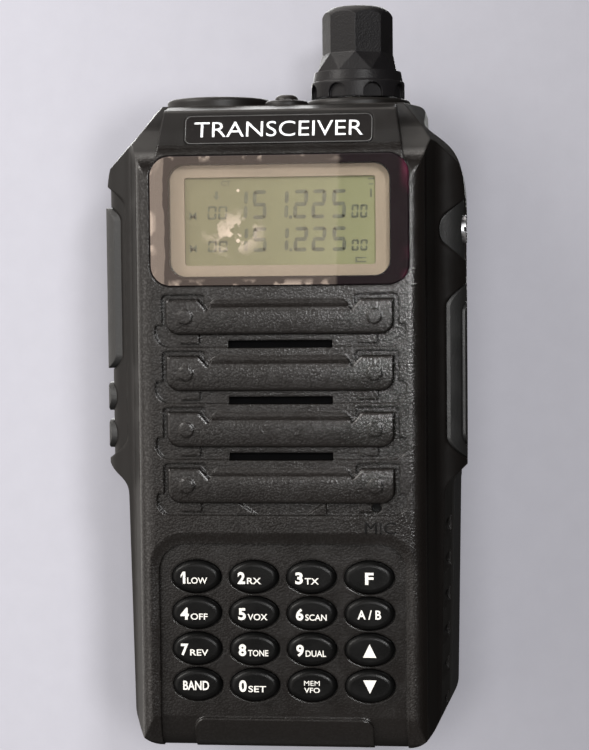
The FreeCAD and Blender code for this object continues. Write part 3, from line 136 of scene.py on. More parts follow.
class Graph(Nodes):
    """One material, worked out in object space."""

    def __init__(self, name):
        self.material = bpy.data.materials.new(name)
        self.material.use_nodes = True
        super().__init__(self.material.node_tree, "ShaderNodeOutputMaterial")
        self.place = self.node("ShaderNodeTexCoord").outputs["Object"]

    def axes(self, place=None):
        split = self.node("ShaderNodeSeparateXYZ", {"Vector": place or self.place})
        return split.outputs[0], split.outputs[1], split.outputs[2]

    def stretch(self, x, y, z):
        """Object space scaled per axis, for streaks and flattened shapes."""
        made = self.node("ShaderNodeMapping", {"Vector": self.place, "Scale": (x, y, z)})
        return made.outputs["Vector"]

    def distance(self, point, place=None):
        made = self.node("ShaderNodeVectorMath", {0: place or self.place, 1: point}, operation="DISTANCE")
        return made.outputs["Value"]

    def noise(self, scale, detail=2.0, rough=0.5, place=None):
        made = self.node("ShaderNodeTexNoise", {
            "Vector": place or self.place, "Scale": scale, "Detail": detail, "Roughness": rough,
        })
        return made.outputs["Fac"]

    def cells(self, scale, feature="F1", place=None, spread=1.0):
        made = self.node("ShaderNodeTexVoronoi", {
            "Vector": place or self.place, "Scale": scale, "Randomness": spread,
        }, feature=feature)
        return made.outputs["Distance"]

    def mix(self, share, a, b, **settings):
        return self.node("ShaderNodeMix", {0: share, 6: a, 7: b}, data_type="RGBA", **settings).outputs[2]

    def mix_number(self, share, a, b):
        return self.node("ShaderNodeMix", {0: share, 2: a, 3: b}, data_type="FLOAT").outputs[0]

    def tint(self, colour, share):
        """A colour made darker or lighter by a factor."""
        grey = self.node("ShaderNodeCombineColor", {"Red": share, "Green": share, "Blue": share})
        return self.mix(1.0, colour, grey.outputs[0], blend_type="MULTIPLY")

    def bevel(self, radius):
        return self.node("ShaderNodeBevel", {"Radius": radius}, samples=4).outputs["Normal"]

    def true_normal(self):
        return self.node("ShaderNodeNewGeometry").outputs["Normal"]

    def wear(self, normal):
        """0 on open surfaces and up to 1 where a rounded edge turns away from its face."""
        return self.ramp(self.dot(normal, self.true_normal()), 0.995, 0.8)

    def bump(self, height, distance, normal=None):
        inputs = {"Height": height, "Distance": distance}
        if normal is not None:
            inputs["Normal"] = normal
        return self.node("ShaderNodeBump", inputs).outputs["Normal"]

    def clear(self, colour=(1.0, 1.0, 1.0, 1.0)):
        return self.node("ShaderNodeBsdfTransparent", {"Color": colour}).outputs[0]

    def surface(self, colour, roughness, normal=None, specular=None, **more):
        inputs = {"Base Color": colour, "Roughness": roughness}
        if normal is not None:
            inputs["Normal"] = normal
        if specular is not None:
            inputs["Specular IOR Level"] = specular
        inputs.update(more)
        return self.node("ShaderNodeBsdfPrincipled", inputs).outputs["BSDF"]

    def finish(self, shader):
        super().finish(shader)
        return self.material


def rgb(r, g, b):
    """A linear colour from 0-255 screen values."""
    return tuple((v / 255.0) ** 2.2 for v in (r, g, b)) + (1.0,)


def rounded_box_distance(g, u, v, half_u, half_v, radius):
    """Signed distance to a rounded rectangle: below zero inside."""
    du = g.minus(g.math("ABSOLUTE", u), half_u - radius)
    dv = g.minus(g.math("ABSOLUTE", v), half_v - radius)
    outside = g.math("SQRT", g.plus(
        g.math("POWER", g.math("MAXIMUM", du, 0.0), 2.0),
        g.math("POWER", g.math("MAXIMUM", dv, 0.0), 2.0),
    ))
    inside = g.math("MINIMUM", g.math("MAXIMUM", du, dv), 0.0)
    return g.minus(g.plus(outside, inside), radius)


# --- material families -------------------------------------------------------------------------
def moulded(name, colour, roughness, grain, depth, mottle=0.25, edge=0.25 * MM, worn=2.2, specular=None):
    """Moulded plastic or rubber: cell grain, mottled tone, uneven gloss and lighter worn edges."""
    g = Graph(name)
    rounded = g.bevel(edge)
    wear = g.times(g.wear(rounded), g.ramp(g.noise(420, 3), 0.35, 0.62))
    tone = g.ramp(g.noise(95, 4, 0.6), 0.3, 0.7, 1 - mottle, 1 + mottle)
    base = g.tint(colour, tone)
    base = g.mix(g.times(wear, 0.6), base, g.tint(colour, worn))
    dust = g.ramp(g.noise(1500, 2), 0.62, 0.8, 0.0, 0.25)
    base = g.mix(g.times(dust, g.ramp(g.noise(60, 2), 0.4, 0.7)), base, rgb(96, 92, 88))
    gloss = g.ramp(g.noise(230, 3), 0.3, 0.7, roughness - 0.06, roughness + 0.06)
    height = g.plus(g.cells(grain, "SMOOTH_F1"), g.times(g.noise(grain * 0.45, 2), 0.8))
    return g.finish(g.surface(base, gloss, g.bump(height, depth, rounded), specular))


def metal(name, colour, roughness, streak=(40.0, 40.0, 900.0), depth=0.004 * MM, edge=0.12 * MM):
    """Machined or stamped metal: fine streaks, dull spots and brighter edges."""
    g = Graph(name)
    rounded = g.bevel(edge)
    lines = g.noise(6.0, 4, 0.65, g.stretch(*streak))
    spots = g.ramp(g.noise(700, 3), 0.5, 0.75)
    base = g.mix(g.times(spots, 0.35), colour, g.tint(colour, 0.45))
    base = g.tint(base, g.ramp(lines, 0.3, 0.7, 0.85, 1.12))
    base = g.mix(g.wear(rounded), base, g.tint(colour, 1.25))
    dull = g.ramp(lines, 0.3, 0.7, roughness - 0.08, roughness + 0.1)
    gloss = g.plus(dull, g.times(spots, 0.15))
    return g.finish(g.surface(base, gloss, g.bump(lines, depth, rounded), Metallic=1.0))


def leather_cells(g):
    """Rounded cells whose places a noise bends, so that they never line up."""
    warp = g.node("ShaderNodeTexNoise", {"Vector": g.place, "Scale": 900.0, "Detail": 1.0}).outputs["Color"]
    bent = g.node("ShaderNodeMix", {0: 0.00035, 4: g.place, 5: warp}, data_type="VECTOR").outputs[1]
    return g.cells(3300, "SMOOTH_F1", bent)


def gate_mark(g):
    """A thin ring to the right, just below the window."""
    middle, radius = (22.0 * MM, FACE_Y + 0.5 * MM, 78.6 * MM), 1.35 * MM
    off = g.math("ABSOLUTE", g.minus(g.distance(middle), radius))
    return g.ramp(off, 0.22 * MM, 0.08 * MM, 0.0, 0.9)


def bar_crown(g, y, z):
    """1 along the middle of each louvre bar and 0 at its edges and on the face behind the bars."""
    middle, half = 0.398, 0.312     # of a bar, as shares of the pitch
    row = g.math("FRACT", g.math("DIVIDE", g.minus(LOUVRES_TOP_Z, z), LOUVRE_PITCH))
    from_middle = g.math("DIVIDE", g.minus(row, middle), half)
    crown = g.minus(1.0, g.times(from_middle, from_middle))
    raised = g.ramp(y, FACE_Y - 0.35 * MM, FACE_Y - 0.55 * MM)
    above_keypad = g.ramp(z, 37.5 * MM, 38.5 * MM)
    return g.times(crown, raised, above_keypad)


def housing_plastic():
    """Black cast-look plastic: leather-like grain on the face, finer on the flanks, smooth header."""
    g = Graph("housing_plastic")
    x, y, z = g.axes()
    # where the coarse grain is: the face in front of the flanks, below the header
    face = g.ramp(y, FACE_Y + 2.6 * MM, FACE_Y + 1.3 * MM, smooth=True)
    coarse = g.times(face, g.ramp(z, HEADER_Z + 0.7 * MM, HEADER_Z, smooth=True))
    grain = leather_cells(g)
    pits = g.noise(5200, 2, 0.6)
    height = g.times(g.plus(grain, g.times(pits, 0.7)), g.ramp(coarse, 0.0, 1.0, 0.25, 1.0))
    height = g.plus(height, gate_mark(g))
    # the louvre bars are slightly crowned: their tops lean back and their feet tuck under
    rounded = g.bump(bar_crown(g, y, z), 0.13 * MM, g.bevel(0.45 * MM))
    # the face rolls softly down into the keypad's recess, and the grain is calmer inside it
    recess_half_height = 40 * MM
    above_middle = g.minus(z, RECESS_TOP_Z - recess_half_height)
    recess = rounded_box_distance(g, x, above_middle, 20.6 * MM, recess_half_height, 4.5 * MM)
    roll = g.times(g.ramp(recess, 0.1 * MM, 2.0 * MM, smooth=True), face)
    rounded = g.bump(roll, 0.24 * MM, rounded)
    calm = g.ramp(recess, -0.4 * MM, 0.6 * MM, 0.65, 1.0)
    height = g.times(height, calm)
    normal = g.bump(height, 0.026 * MM, rounded)
    wear = g.times(g.wear(g.bevel(0.3 * MM)), g.ramp(g.noise(380, 3), 0.38, 0.66))
    tone = g.ramp(g.noise(70, 4, 0.6), 0.3, 0.7, 0.85, 1.15)
    # painted shade and light: the base is darker in the grain's valleys and lighter on its tops
    base = g.tint(rgb(22, 20, 19), g.times(tone, g.ramp(height, 0.1, 0.8, 0.85, 1.15)))
    base = g.mix(g.times(wear, 0.3), base, rgb(70, 67, 64))
    # the printed seat round the window is nearly black
    seat = rounded_box_distance(g, x, g.minus(z, WINDOW_Z), 21.4 * MM, 10.75 * MM, 3.4 * MM)
    base = g.mix(g.times(g.ramp(seat, 0.02 * MM, -0.02 * MM), face), base, rgb(20, 15, 18))
    gloss = g.ramp(g.noise(260, 3), 0.3, 0.7, 0.17, 0.25)
    gloss = g.plus(gloss, g.ramp(coarse, 0.0, 1.0, 0.22, 0.0))
    # the grain's valleys reflect less than its tops
    valley = g.mix_number(calm, 0.5, g.ramp(grain, 0.12, 0.50, 0.68, 0.30))
    return g.finish(g.surface(base, gloss, normal, g.mix_number(coarse, 0.22, valley)))


def key_rubber():
    """Satin key caps: very fine texture, neutral black, polished by fingers on the crowns."""
    g = Graph("key_rubber")
    crown = g.ramp(g.axes()[1], FACE_Y + 0.2 * MM, FACE_Y - 0.1 * MM)
    base = g.tint(rgb(17, 17, 17), g.ramp(g.noise(240, 3), 0.3, 0.7, 0.85, 1.15))
    polish = g.ramp(g.noise(320, 2), 0.35, 0.65, 0.30, 0.42)
    gloss = g.minus(polish, g.times(crown, 0.04))
    height = g.plus(g.noise(5200, 2), g.times(g.cells(2600), 0.5))
    return g.finish(g.surface(base, gloss, g.bump(height, 0.012 * MM, g.bevel(0.15 * MM)), 0.11))


def window_clear():
    """Clear acrylic with a printed dark border on its rim, purple-black with a faint red edge."""
    g = Graph("window_clear")
    x, _, z = g.axes()
    gap = rounded_box_distance(g, x, g.minus(z, WINDOW_Z), 18.35 * MM, 9.3 * MM, 2.7 * MM)
    border = g.ramp(gap, -0.03 * MM, 0.03 * MM)
    to_the_right = g.ramp(x, 19.6 * MM, 21.2 * MM, smooth=True)
    reddish = g.times(to_the_right, g.ramp(g.noise(160, 2), 0.35, 0.65))
    ink = g.mix(reddish, g.mix(g.noise(210, 3), rgb(20, 14, 18), rgb(28, 22, 26)), rgb(74, 32, 48))
    scratches = g.noise(5.0, 3, 0.6, g.stretch(90.0, 90.0, 900.0))
    gloss = g.ramp(scratches, 0.35, 0.7, 0.05, 0.16)
    shine = g.node("ShaderNodeBsdfGlossy", {"Roughness": gloss, "Color": (1, 1, 1, 1)}).outputs[0]
    fresnel = g.node("ShaderNodeFresnel", {"IOR": 1.13}).outputs[0]
    pane = g.mix_shaders(fresnel, g.clear((0.93, 0.94, 0.92, 1.0)), shine)
    return g.finish(g.mix_shaders(border, pane, g.surface(ink, gloss, specular=0.06)))


def film_air(g, x, gap):
    """Trapped air: one cluster left of the middle, a few specks and a ragged fringe along the rim."""
    squeeze, middle_x, middle_z = 0.75, -7.4 * MM, 86.0 * MM
    away = g.distance((squeeze * middle_x, 0.0, middle_z), g.stretch(squeeze, 0.0, 1.0))
    cluster = g.times(g.ramp(away, 4.2 * MM, 0.5 * MM), g.ramp(g.noise(430, 3, 0.6), 0.47, 0.55))
    specks = g.times(g.ramp(g.cells(330), 0.13, 0.09), g.ramp(g.noise(170, 1), 0.56, 0.62))
    ragged = g.times(g.ramp(gap, -1.1 * MM, -0.2 * MM), g.ramp(g.noise(430, 3), 0.5, 0.6))
    fringe = g.times(ragged, g.ramp(x, 11.0 * MM, 8.0 * MM))
    return g.math("MAXIMUM", g.math("MAXIMUM", cluster, specks), g.times(fringe, 0.5))


def protective_film():
    """A loose film on the window: a painted reflection shown as a light veil, lifted along the left edge,
    with bubbles.
    """
    g = Graph("protective_film")
    x, _, z = g.axes()
    high = g.minus(z, WINDOW_Z)
    wave = g.times(g.minus(g.noise(260, 3), 0.5), 1.1 * MM)
    lifted = g.ramp(g.plus(x, wave), -18.95 * MM, -19.05 * MM)
    # a painted reflection, drawn as a light veil that stops at a slanting line right of the middle; the
    # lifted left strip is a little lighter as well
    slant = g.plus(x, g.times(high, -0.03))
    lit = g.ramp(slant, 10.0 * MM, 9.5 * MM)
    painted_reflection_and_lift = g.plus(g.ramp(lit, 0.0, 1.0, 0.002, 0.028), g.times(lifted, 0.055))
    gap = rounded_box_distance(g, x, high, 21.2 * MM, 10.6 * MM, 3.3 * MM)
    cover = g.math("ADD", painted_reflection_and_lift, g.times(film_air(g, x, gap), 0.26), clamp=True)
    gloss = g.ramp(g.noise(900, 3), 0.3, 0.7, 0.22, 0.36)
    veil = g.surface(rgb(236, 214, 196), gloss, g.bump(g.noise(300, 3), 0.02 * MM))
    return g.finish(g.mix_shaders(cover, g.clear((0.97, 0.97, 0.97, 1.0)), veil))


def display_glass():
    """Reflective display: pale grey-green with a soft gradient and a faint pixel lattice."""
    g = Graph("display_glass")
    x, _, z = g.axes()
    lines = 21000        # radians per metre
    base = g.mix(g.ramp(x, -16 * MM, 16 * MM, smooth=True), rgb(130, 124, 100), rgb(138, 136, 106))
    base = g.tint(base, g.ramp(g.noise(120, 3), 0.3, 0.7, 0.96, 1.04))
    lattice = g.times(g.math("SINE", g.times(x, lines)), g.math("SINE", g.times(z, lines)))
    base = g.tint(base, g.ramp(lattice, -1.0, 1.0, 0.985, 1.015))
    gloss = g.ramp(g.noise(800, 2), 0.3, 0.7, 0.30, 0.42)
    return g.finish(g.surface(base, gloss, g.bump(g.noise(2600, 2), 0.004 * MM), 0.1))


def printed_frame():
    """Pinkish grey paint on the thin frame round the display."""
    g = Graph("printed_frame")
    fleck = g.noise(2600, 3, 0.6)
    base = g.mix(fleck, rgb(150, 133, 120), rgb(166, 148, 134))
    base = g.tint(base, g.ramp(g.noise(110, 3), 0.3, 0.7, 0.94, 1.05))
    normal = g.bump(fleck, 0.01 * MM, g.bevel(0.1 * MM))
    return g.finish(g.surface(base, g.ramp(fleck, 0.3, 0.7, 0.45, 0.6), normal, 0.15))


def display_ink():
    """Dark segments, a little uneven, as on a tired reflective display."""
    g = Graph("display_ink")
    base = g.mix(g.ramp(g.noise(900, 3), 0.35, 0.65), rgb(78, 77, 62), rgb(102, 101, 82))
    return g.finish(g.surface(base, g.ramp(g.noise(1500, 2), 0.3, 0.7, 0.4, 0.55)))


def legend_white():
    """Screen-printed white, with slightly starved ink."""
    g = Graph("legend_white")
    grit = g.noise(6000, 3, 0.7)
    base = g.mix(g.ramp(grit, 0.3, 0.55), rgb(186, 184, 178), rgb(214, 212, 206))
    return g.finish(g.surface(base, g.ramp(grit, 0.3, 0.7, 0.35, 0.55), g.bump(grit, 0.006 * MM)))


def bright_foil():
    """Hot-stamped silver foil."""
    g = Graph("bright_foil")
    crinkle = g.noise(1800, 3, 0.6)
    base = g.mix(g.ramp(crinkle, 0.35, 0.65), (0.80, 0.84, 0.92, 1), (0.97, 0.96, 0.95, 1))
    gloss = g.ramp(crinkle, 0.3, 0.7, 0.22, 0.36)
    return g.finish(g.surface(base, gloss, g.bump(crinkle, 0.01 * MM), Metallic=0.35))


def cloth_black():
    """Fine acoustic cloth behind the louvres."""
    g = Graph("cloth_black")
    x, _, z = g.axes()
    threads = 15000      # radians per metre
    weave = g.times(g.math("SINE", g.times(x, threads)), g.math("SINE", g.times(z, threads)))
    base = g.mix(g.ramp(weave, -1.0, 1.0), rgb(5, 5, 6), rgb(14, 14, 15))
    base = g.tint(base, g.ramp(g.noise(700, 3), 0.3, 0.7, 0.8, 1.2))
    gloss = g.ramp(weave, -1.0, 1.0, 0.75, 0.95)
    return g.finish(g.surface(base, gloss, g.bump(weave, 0.03 * MM), 0.05))


def capsule_felt():
    """The microphone's aluminium can, with black felt over its front."""
    g = Graph("capsule_aluminium")
    felt = g.ramp(g.axes(g.true_normal())[1], -0.8, -0.9)
    fibre = g.noise(2600, 4, 0.7)
    base = g.mix(felt, (0.72, 0.73, 0.74, 1), g.mix(fibre, rgb(6, 6, 6), rgb(20, 20, 20)))
    gloss = g.ramp(felt, 0.0, 1.0, 0.35, 0.95)
    metallic = g.ramp(felt, 0.0, 1.0, 1.0, 0.0)
    normal = g.bump(fibre, 0.02 * MM, g.bevel(0.12 * MM))
    return g.finish(g.surface(base, gloss, normal, Metallic=metallic))


def board_laminate():
    """Solder-masked board: copper lines under green mask, and gold dots in patches."""
    g = Graph("board_laminate")
    tracks = g.ramp(g.cells(420, "DISTANCE_TO_EDGE", spread=0.35), 0.10, 0.07)
    dots = g.times(g.ramp(g.cells(900, spread=0.2), 0.16, 0.12), g.ramp(g.noise(140, 1), 0.5, 0.56))
    base = g.mix(tracks, rgb(18, 60, 38), rgb(40, 98, 58))
    base = g.mix(dots, base, rgb(190, 160, 96))
    base = g.tint(base, g.ramp(g.noise(90, 3), 0.3, 0.7, 0.85, 1.15))
    gloss = g.ramp(g.noise(500, 2), 0.3, 0.7, 0.28, 0.42)
    return g.finish(g.surface(base, gloss, g.bump(tracks, 0.02 * MM, g.bevel(0.1 * MM))))


def cell_wrap():
    """Shrink sleeve on the cells: soft blue, stretched streaks and creases."""
    g = Graph("cell_wrap")
    streaks = g.noise(7.0, 4, 0.6, g.stretch(120.0, 120.0, 14.0))
    base = g.mix(g.ramp(streaks, 0.35, 0.65), rgb(38, 74, 112), rgb(58, 96, 138))
    normal = g.bump(streaks, 0.05 * MM, g.bevel(0.3 * MM))
    return g.finish(g.surface(base, g.ramp(streaks, 0.3, 0.7, 0.25, 0.4), normal))


def studio_paper():
    """Matt paper under the radio: partly self-lit, so evenly bright, with painted light that dims it to the
    right and a little towards the bottom, and a painted soft shadow round the radio.
    """
    g = Graph("ground_paper")
    x, _, z = g.axes()
    # painted light: the paper darkens to the right and slightly towards the bottom, as if lit from the upper
    # left
    painted_falloff_across = g.ramp(x, -50 * MM, 50 * MM, 1.0, 0.70)
    down = g.ramp(z, 130 * MM, -10 * MM, 1.0, 0.96)
    fibre = g.ramp(g.noise(260, 4, 0.6), 0.3, 0.7, 0.985, 1.015)
    # a painted soft shadow where the radio meets the paper
    middle_x, middle_z = -3.5 * MM, 52 * MM
    gap = rounded_box_distance(g, g.minus(x, middle_x), g.minus(z, middle_z), 31 * MM, 54 * MM, 8 * MM)
    painted_contact_shadow = g.ramp(gap, 0.0, 9 * MM, 0.79, 1.0, smooth=True)
    shown = g.tint(rgb(201, 200, 209), g.times(painted_falloff_across, down, fibre, painted_contact_shadow))
    front = g.surface(
        g.tint(shown, 0.36), 0.9, g.bump(g.noise(1500, 3), 0.02 * MM), 0.0,
        **{"Emission Color": shown, "Emission Strength": 0.55},
    )
    behind = g.node("ShaderNodeNewGeometry").outputs["Backfacing"]
    return g.finish(g.mix_shaders(behind, front, g.clear()))


# --- dress the CAD nodes -----------------------------------------------------------------------
def dress(material, *names):
    for name in names:
        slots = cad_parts[name].data.materials
        slots.clear()
        slots.append(material)


KEY_NODES = [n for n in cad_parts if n.startswith("key_") and n != "key_domes"]

SATIN = moulded("side_rubber", rgb(25, 25, 25), 0.5, 4200, 0.02 * MM, 0.2, 0.2 * MM, 2.0)
STEEL = metal("screw_steel", (0.52, 0.52, 0.54, 1), 0.3)

dress(housing_plastic(), "front_housing")
dress(moulded("cast_chassis", rgb(27, 26, 25), 0.5, 3000, 0.045 * MM, 0.2, 0.3 * MM, 2.6), "rear_chassis")
dress(moulded("seal_rubber", rgb(26, 26, 27), 0.72, 5200, 0.02 * MM), "case_gasket")
dress(SATIN, "ptt_paddle", "side_key_upper", "side_key_lower", "accessory_cover", "cover_anchor")
dress(key_rubber(), *KEY_NODES)
dress(moulded("membrane_rubber", rgb(52, 52, 54), 0.65, 3000, 0.02 * MM), "keypad_membrane")
dress(STEEL, "chassis_screws", "cover_screw", "ptt_pin", "pot_nut", "latch_spring")
dress(moulded("plate_gloss", rgb(22, 20, 20), 0.14, 2600, 0.003 * MM, 0.2, 0.12 * MM, 2.6), "nameplate")
dress(window_clear(), "display_lens")
dress(printed_frame(), "display_frame")
dress(display_glass(), "display_panel")
dress(moulded("backlight_plastic", rgb(196, 200, 188), 0.4, 2000, 0.01 * MM, 0.06), "display_backlight")
dress(metal("dome_steel", (0.62, 0.61, 0.58, 1), 0.25), "key_domes", "shield_cans")
dress(board_laminate(), "control_board", "rf_board")
dress(cloth_black(), "speaker_cloth")
dress(moulded("speaker_frame", rgb(60, 60, 62), 0.45, 1800, 0.02 * MM), "speaker_basket", "speaker_magnet")
dress(moulded("speaker_paper", rgb(46, 44, 40), 0.85, 1400, 0.06 * MM, 0.2), "speaker_cone")
dress(capsule_felt(), "microphone_capsule")
dress(
    moulded("moulded_black", rgb(24, 24, 25), 0.5, 3600, 0.02 * MM),
    "board_connector", "side_switches", "jack_block", "terminal_block",
)
dress(
    moulded("knob_plastic", rgb(25, 24, 25), 0.40, 3800, 0.025 * MM, 0.2, 0.3 * MM, 2.4, specular=0.14),
    "volume_knob",
)
dress(metal("pot_metal", (0.6, 0.58, 0.52, 1), 0.34), "volume_pot", "pot_shaft")
dress(
    metal("port_brass", (0.72, 0.52, 0.24, 1), 0.26, (900.0, 900.0, 60.0)),
    "antenna_connector", "antenna_contact", "battery_contacts",
)
dress(moulded("insulator_white", rgb(224, 222, 214), 0.4, 2400, 0.008 * MM, 0.05), "antenna_insulator")
dress(moulded("lamp_lens", rgb(26, 23, 22), 0.42, 2400, 0.004 * MM, 0.1, specular=0.25), "status_lens")
dress(
    moulded("pack_plastic", rgb(27, 27, 28), 0.52, 3000, 0.04 * MM, 0.2, 0.3 * MM, 2.6),
    "battery_tray", "battery_cover", "battery_latch",
)
dress(cell_wrap(), "battery_cells")


# --- making pieces -----------------------------------------------------------------------------
def add_piece(name, bm, material, body, smooth=None):
    """A piece from its mesh under construction, riding a body unless that is None."""
    piece = bpy.data.objects.new(name, mesh_from(bm, name, smooth))
    bpy.context.scene.collection.objects.link(piece)
    piece.data.materials.append(material)
    if body:
        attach(piece, body)
    return piece


def mesh_from(bm, name, smooth=None):
    """The finished mesh, shaded smooth where faces meet at less than the angle given in degrees."""
    bmesh.ops.recalc_face_normals(bm, faces=bm.faces)
    made = bpy.data.meshes.new(name)
    bm.to_mesh(made)
    bm.free()
    if smooth is not None:
        made.polygons.foreach_set("use_smooth", [True] * len(made.polygons))
        made.set_sharp_from_angle(angle=math.radians(smooth))
    return made


def add_prism(bm, outline, front, back):
    """A closed prism: an outline in the XZ plane between two y values."""
    near = [bm.verts.new((x, front, z)) for x, z in outline]
    far = [bm.verts.new((x, back, z)) for x, z in outline]
    bm.faces.new(near)
    bm.faces.new(list(reversed(far)))
    for i in range(len(outline)):
        j = (i + 1) % len(outline)
        bm.faces.new((near[j], near[i], far[i], far[j]))


def add_skin(bm, rings):
    """Faces between each ring of vertices and the next."""
    for a, b in zip(rings, rings[1:]):
        for i in range(len(a)):
            j = (i + 1) % len(a)
            bm.faces.new((a[i], a[j], b[j], b[i]))


def add_rod(bm, rings):
    """A closed rod through rings of vertices."""
    add_skin(bm, rings)
    bm.faces.new(rings[0])
    bm.faces.new(list(reversed(rings[-1])))


def rounded_outline(x0, x1, z0, z1, radius, steps=8):
    """Corner points of a rounded rectangle, anticlockwise seen from the front."""
    points = []
    corners = ((x1, z1, 0), (x0, z1, 90), (x0, z0, 180), (x1, z0, 270))
    for cx, cz, turn in corners:
        ox = cx - math.copysign(radius, cx - (x0 + x1) / 2)
        oz = cz - math.copysign(radius, cz - (z0 + z1) / 2)
        for i in range(steps + 1):
            a = math.radians(turn + 90 * i / steps)
            points.append((ox + radius * math.cos(a), oz + radius * math.sin(a)))
    return points


GLYPH_HALF_DEPTH = 0.02      # in the text's own units, where the size of the letters is 1


def glyphs(text, bold):
    """A flat-lying mesh of some text, with a little thickness, in its own units."""
    curve = bpy.data.curves.new("glyphs", "FONT")
    curve.body = text
    curve.size = 1.0
    curve.resolution_u = 4
    curve.offset = bold
    curve.extrude = GLYPH_HALF_DEPTH
    holder = bpy.data.objects.new("glyphs", curve)
    bpy.context.scene.collection.objects.link(holder)
    bpy.context.view_layer.update()
    made = bpy.data.meshes.new_from_object(holder.evaluated_get(bpy.context.evaluated_depsgraph_get()))
    bpy.data.objects.remove(holder)
    bpy.data.curves.remove(curve)
    return made


def add_words(bm, text, x0, x1, z0, z1, front, thick, bold):
    """Adds text that fills a box in the XZ plane, facing -Y, its face at y = front."""
    letters = glyphs(text, bold)
    xs = [v.co.x for v in letters.vertices]
    zs = [v.co.y for v in letters.vertices]
    sx, sz = (x1 - x0) / (max(xs) - min(xs)), (z1 - z0) / (max(zs) - min(zs))
    for v in letters.vertices:
        depth = thick * (GLYPH_HALF_DEPTH - v.co.z) / (2 * GLYPH_HALF_DEPTH)
        v.co = Vector((x0 + (v.co.x - min(xs)) * sx, front + depth, z0 + (v.co.y - min(zs)) * sz))
    bm.from_mesh(letters)
    bpy.data.meshes.remove(letters)


# --- key legends -------------------------------------------------------------------------------
# text, its left and right edge about the key's centre in millimetres, and its style
LEGENDS = {
    "key_1": [("1", -2.55, -1.75, "digit"), ("LOW", -1.45, 1.9, "label")],
    "key_2": [("2", -2.6, -1.35, "digit"), ("RX", -1.05, 1.3, "label")],
    "key_3": [("3", -2.6, -1.35, "digit"), ("TX", -1.05, 1.3, "label")],
    "key_function": [("F", -0.65, 0.75, "digit")],
    "key_4": [("4", -2.65, -1.25, "digit"), ("OFF", -0.95, 1.9, "label")],
    "key_5": [("5", -2.55, -1.3, "digit"), ("VOX", -1.0, 2.3, "label")],
    "key_6": [("6", -2.55, -1.3, "digit"), ("SCAN", -1.0, 2.55, "label")],
    "key_main": [("A / B", -1.95, 1.95, "word")],
    "key_7": [("7", -2.65, -1.4, "digit"), ("REV", -1.1, 1.95, "label")],
    "key_8": [("8", -2.55, -1.3, "digit"), ("TONE", -1.0, 2.4, "label")],
    "key_9": [("9", -2.55, -1.3, "digit"), ("DUAL", -1.0, 2.4, "label")],
    "key_up": [("up", -1.1, 1.1, "arrow")],
    "key_band": [("BAND", -2.35, 2.0, "word")],
    "key_0": [("0", -2.55, -1.3, "digit"), ("SET", -1.0, 1.95, "label")],
    "key_memory": [("MEM", -1.3, 1.3, "upper"), ("VFO", -1.3, 1.3, "lower")],
    "key_down": [("down", -1.1, 1.1, "arrow")],
}
# low and high edge of each style of text about the key's centre, millimetres
LEGEND_ROWS = {
    "digit": (-1.05, 0.95), "label": (-1.05, 0.0), "word": (-0.8, 0.75), "arrow": (-1.1, 1.15),
    "upper": (0.15, 0.95), "lower": (-1.05, -0.2),
}
# how far each style's strokes are thickened, in the text's own units
BOLD = {"digit": 0.035, "label": 0.012, "word": 0.02, "upper": 0.0, "lower": 0.012}


def one_outline(left, right, low, high):
    """A plain figure 1: a stem with a sloping flag."""
    stroke, slope = 0.42 * MM, 0.75 * (right - left)
    stem = right - stroke
    return [
        (stem, low), (right, low), (right, high), (stem, high),
        (left, high - slope), (left, high - slope - stroke), (stem, high - stroke),
    ]


def key_legends():
    """The white text on each key, which rides the key's body."""
    white = legend_white()
    for key, parts in LEGENDS.items():
        key_low, key_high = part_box(key)
        cx, cz = (key_low.x + key_high.x) / 2, (key_low.z + key_high.z) / 2
        front, back = key_low.y - 0.015 * MM, key_low.y + 0.04 * MM
        bm = bmesh.new()
        for text, x0, x1, style in parts:
            z0, z1 = LEGEND_ROWS[style]
            left, right, low, high = cx + x0 * MM, cx + x1 * MM, cz + z0 * MM, cz + z1 * MM
            if style == "arrow":
                base, tip = (low, high) if text == "up" else (high, low)
                add_prism(bm, [(left, base), (right, base), (cx, tip)], front, back)
            elif text == "1":
                add_prism(bm, one_outline(left, right, low, high), front, back)
            else:
                add_words(bm, text, left, right, low, high, front, back - front, BOLD[style])
        add_piece(f"{key}_legend", bm, white, f"{key}_button")


# --- display readout ---------------------------------------------------------------------------
# lit bars of each digit: a top, b upper right, c lower right, d low, e lower left, f upper left, g middle
SEGMENTS = {"0": "abcdef", "1": "bc", "2": "abged", "5": "afgcd"}
SLANT = 0.05                 # sideways lean of the digits per unit of height
INK_THICK = 0.02 * MM


def add_digit(bm, digit, x, z, wide, high, thick, y):
    """One slanting seven-segment digit whose lower left corner is at x, z."""
    gap, half = thick * 0.16, high / 2
    flat = {"a": (high - thick, high), "g": (half - thick / 2, half + thick / 2), "d": (0, thick)}
    upright = {
        "f": (0, thick, half, high), "e": (0, thick, 0, half),
        "b": (wide - thick, wide, half, high), "c": (wide - thick, wide, 0, half),
    }
    for name in SEGMENTS[digit]:
        if name in flat:
            z0, z1 = flat[name]
            tip, x0, x1 = (z1 - z0) / 2, gap, wide - gap
            outline = [
                (x0, z0 + tip), (x0 + tip, z0), (x1 - tip, z0),
                (x1, z0 + tip), (x1 - tip, z1), (x0 + tip, z1),
            ]
        else:
            x0, x1, low_end, high_end = upright[name]
            tip, z0, z1 = (x1 - x0) / 2, low_end + gap, high_end - gap
            outline = [
                (x0 + tip, z0), (x1, z0 + tip), (x1, z1 - tip),
                (x0 + tip, z1), (x0, z1 - tip), (x0, z0 + tip),
            ]
        add_prism(bm, [(x + u + SLANT * v, z + v) for u, v in outline], y, y + INK_THICK)


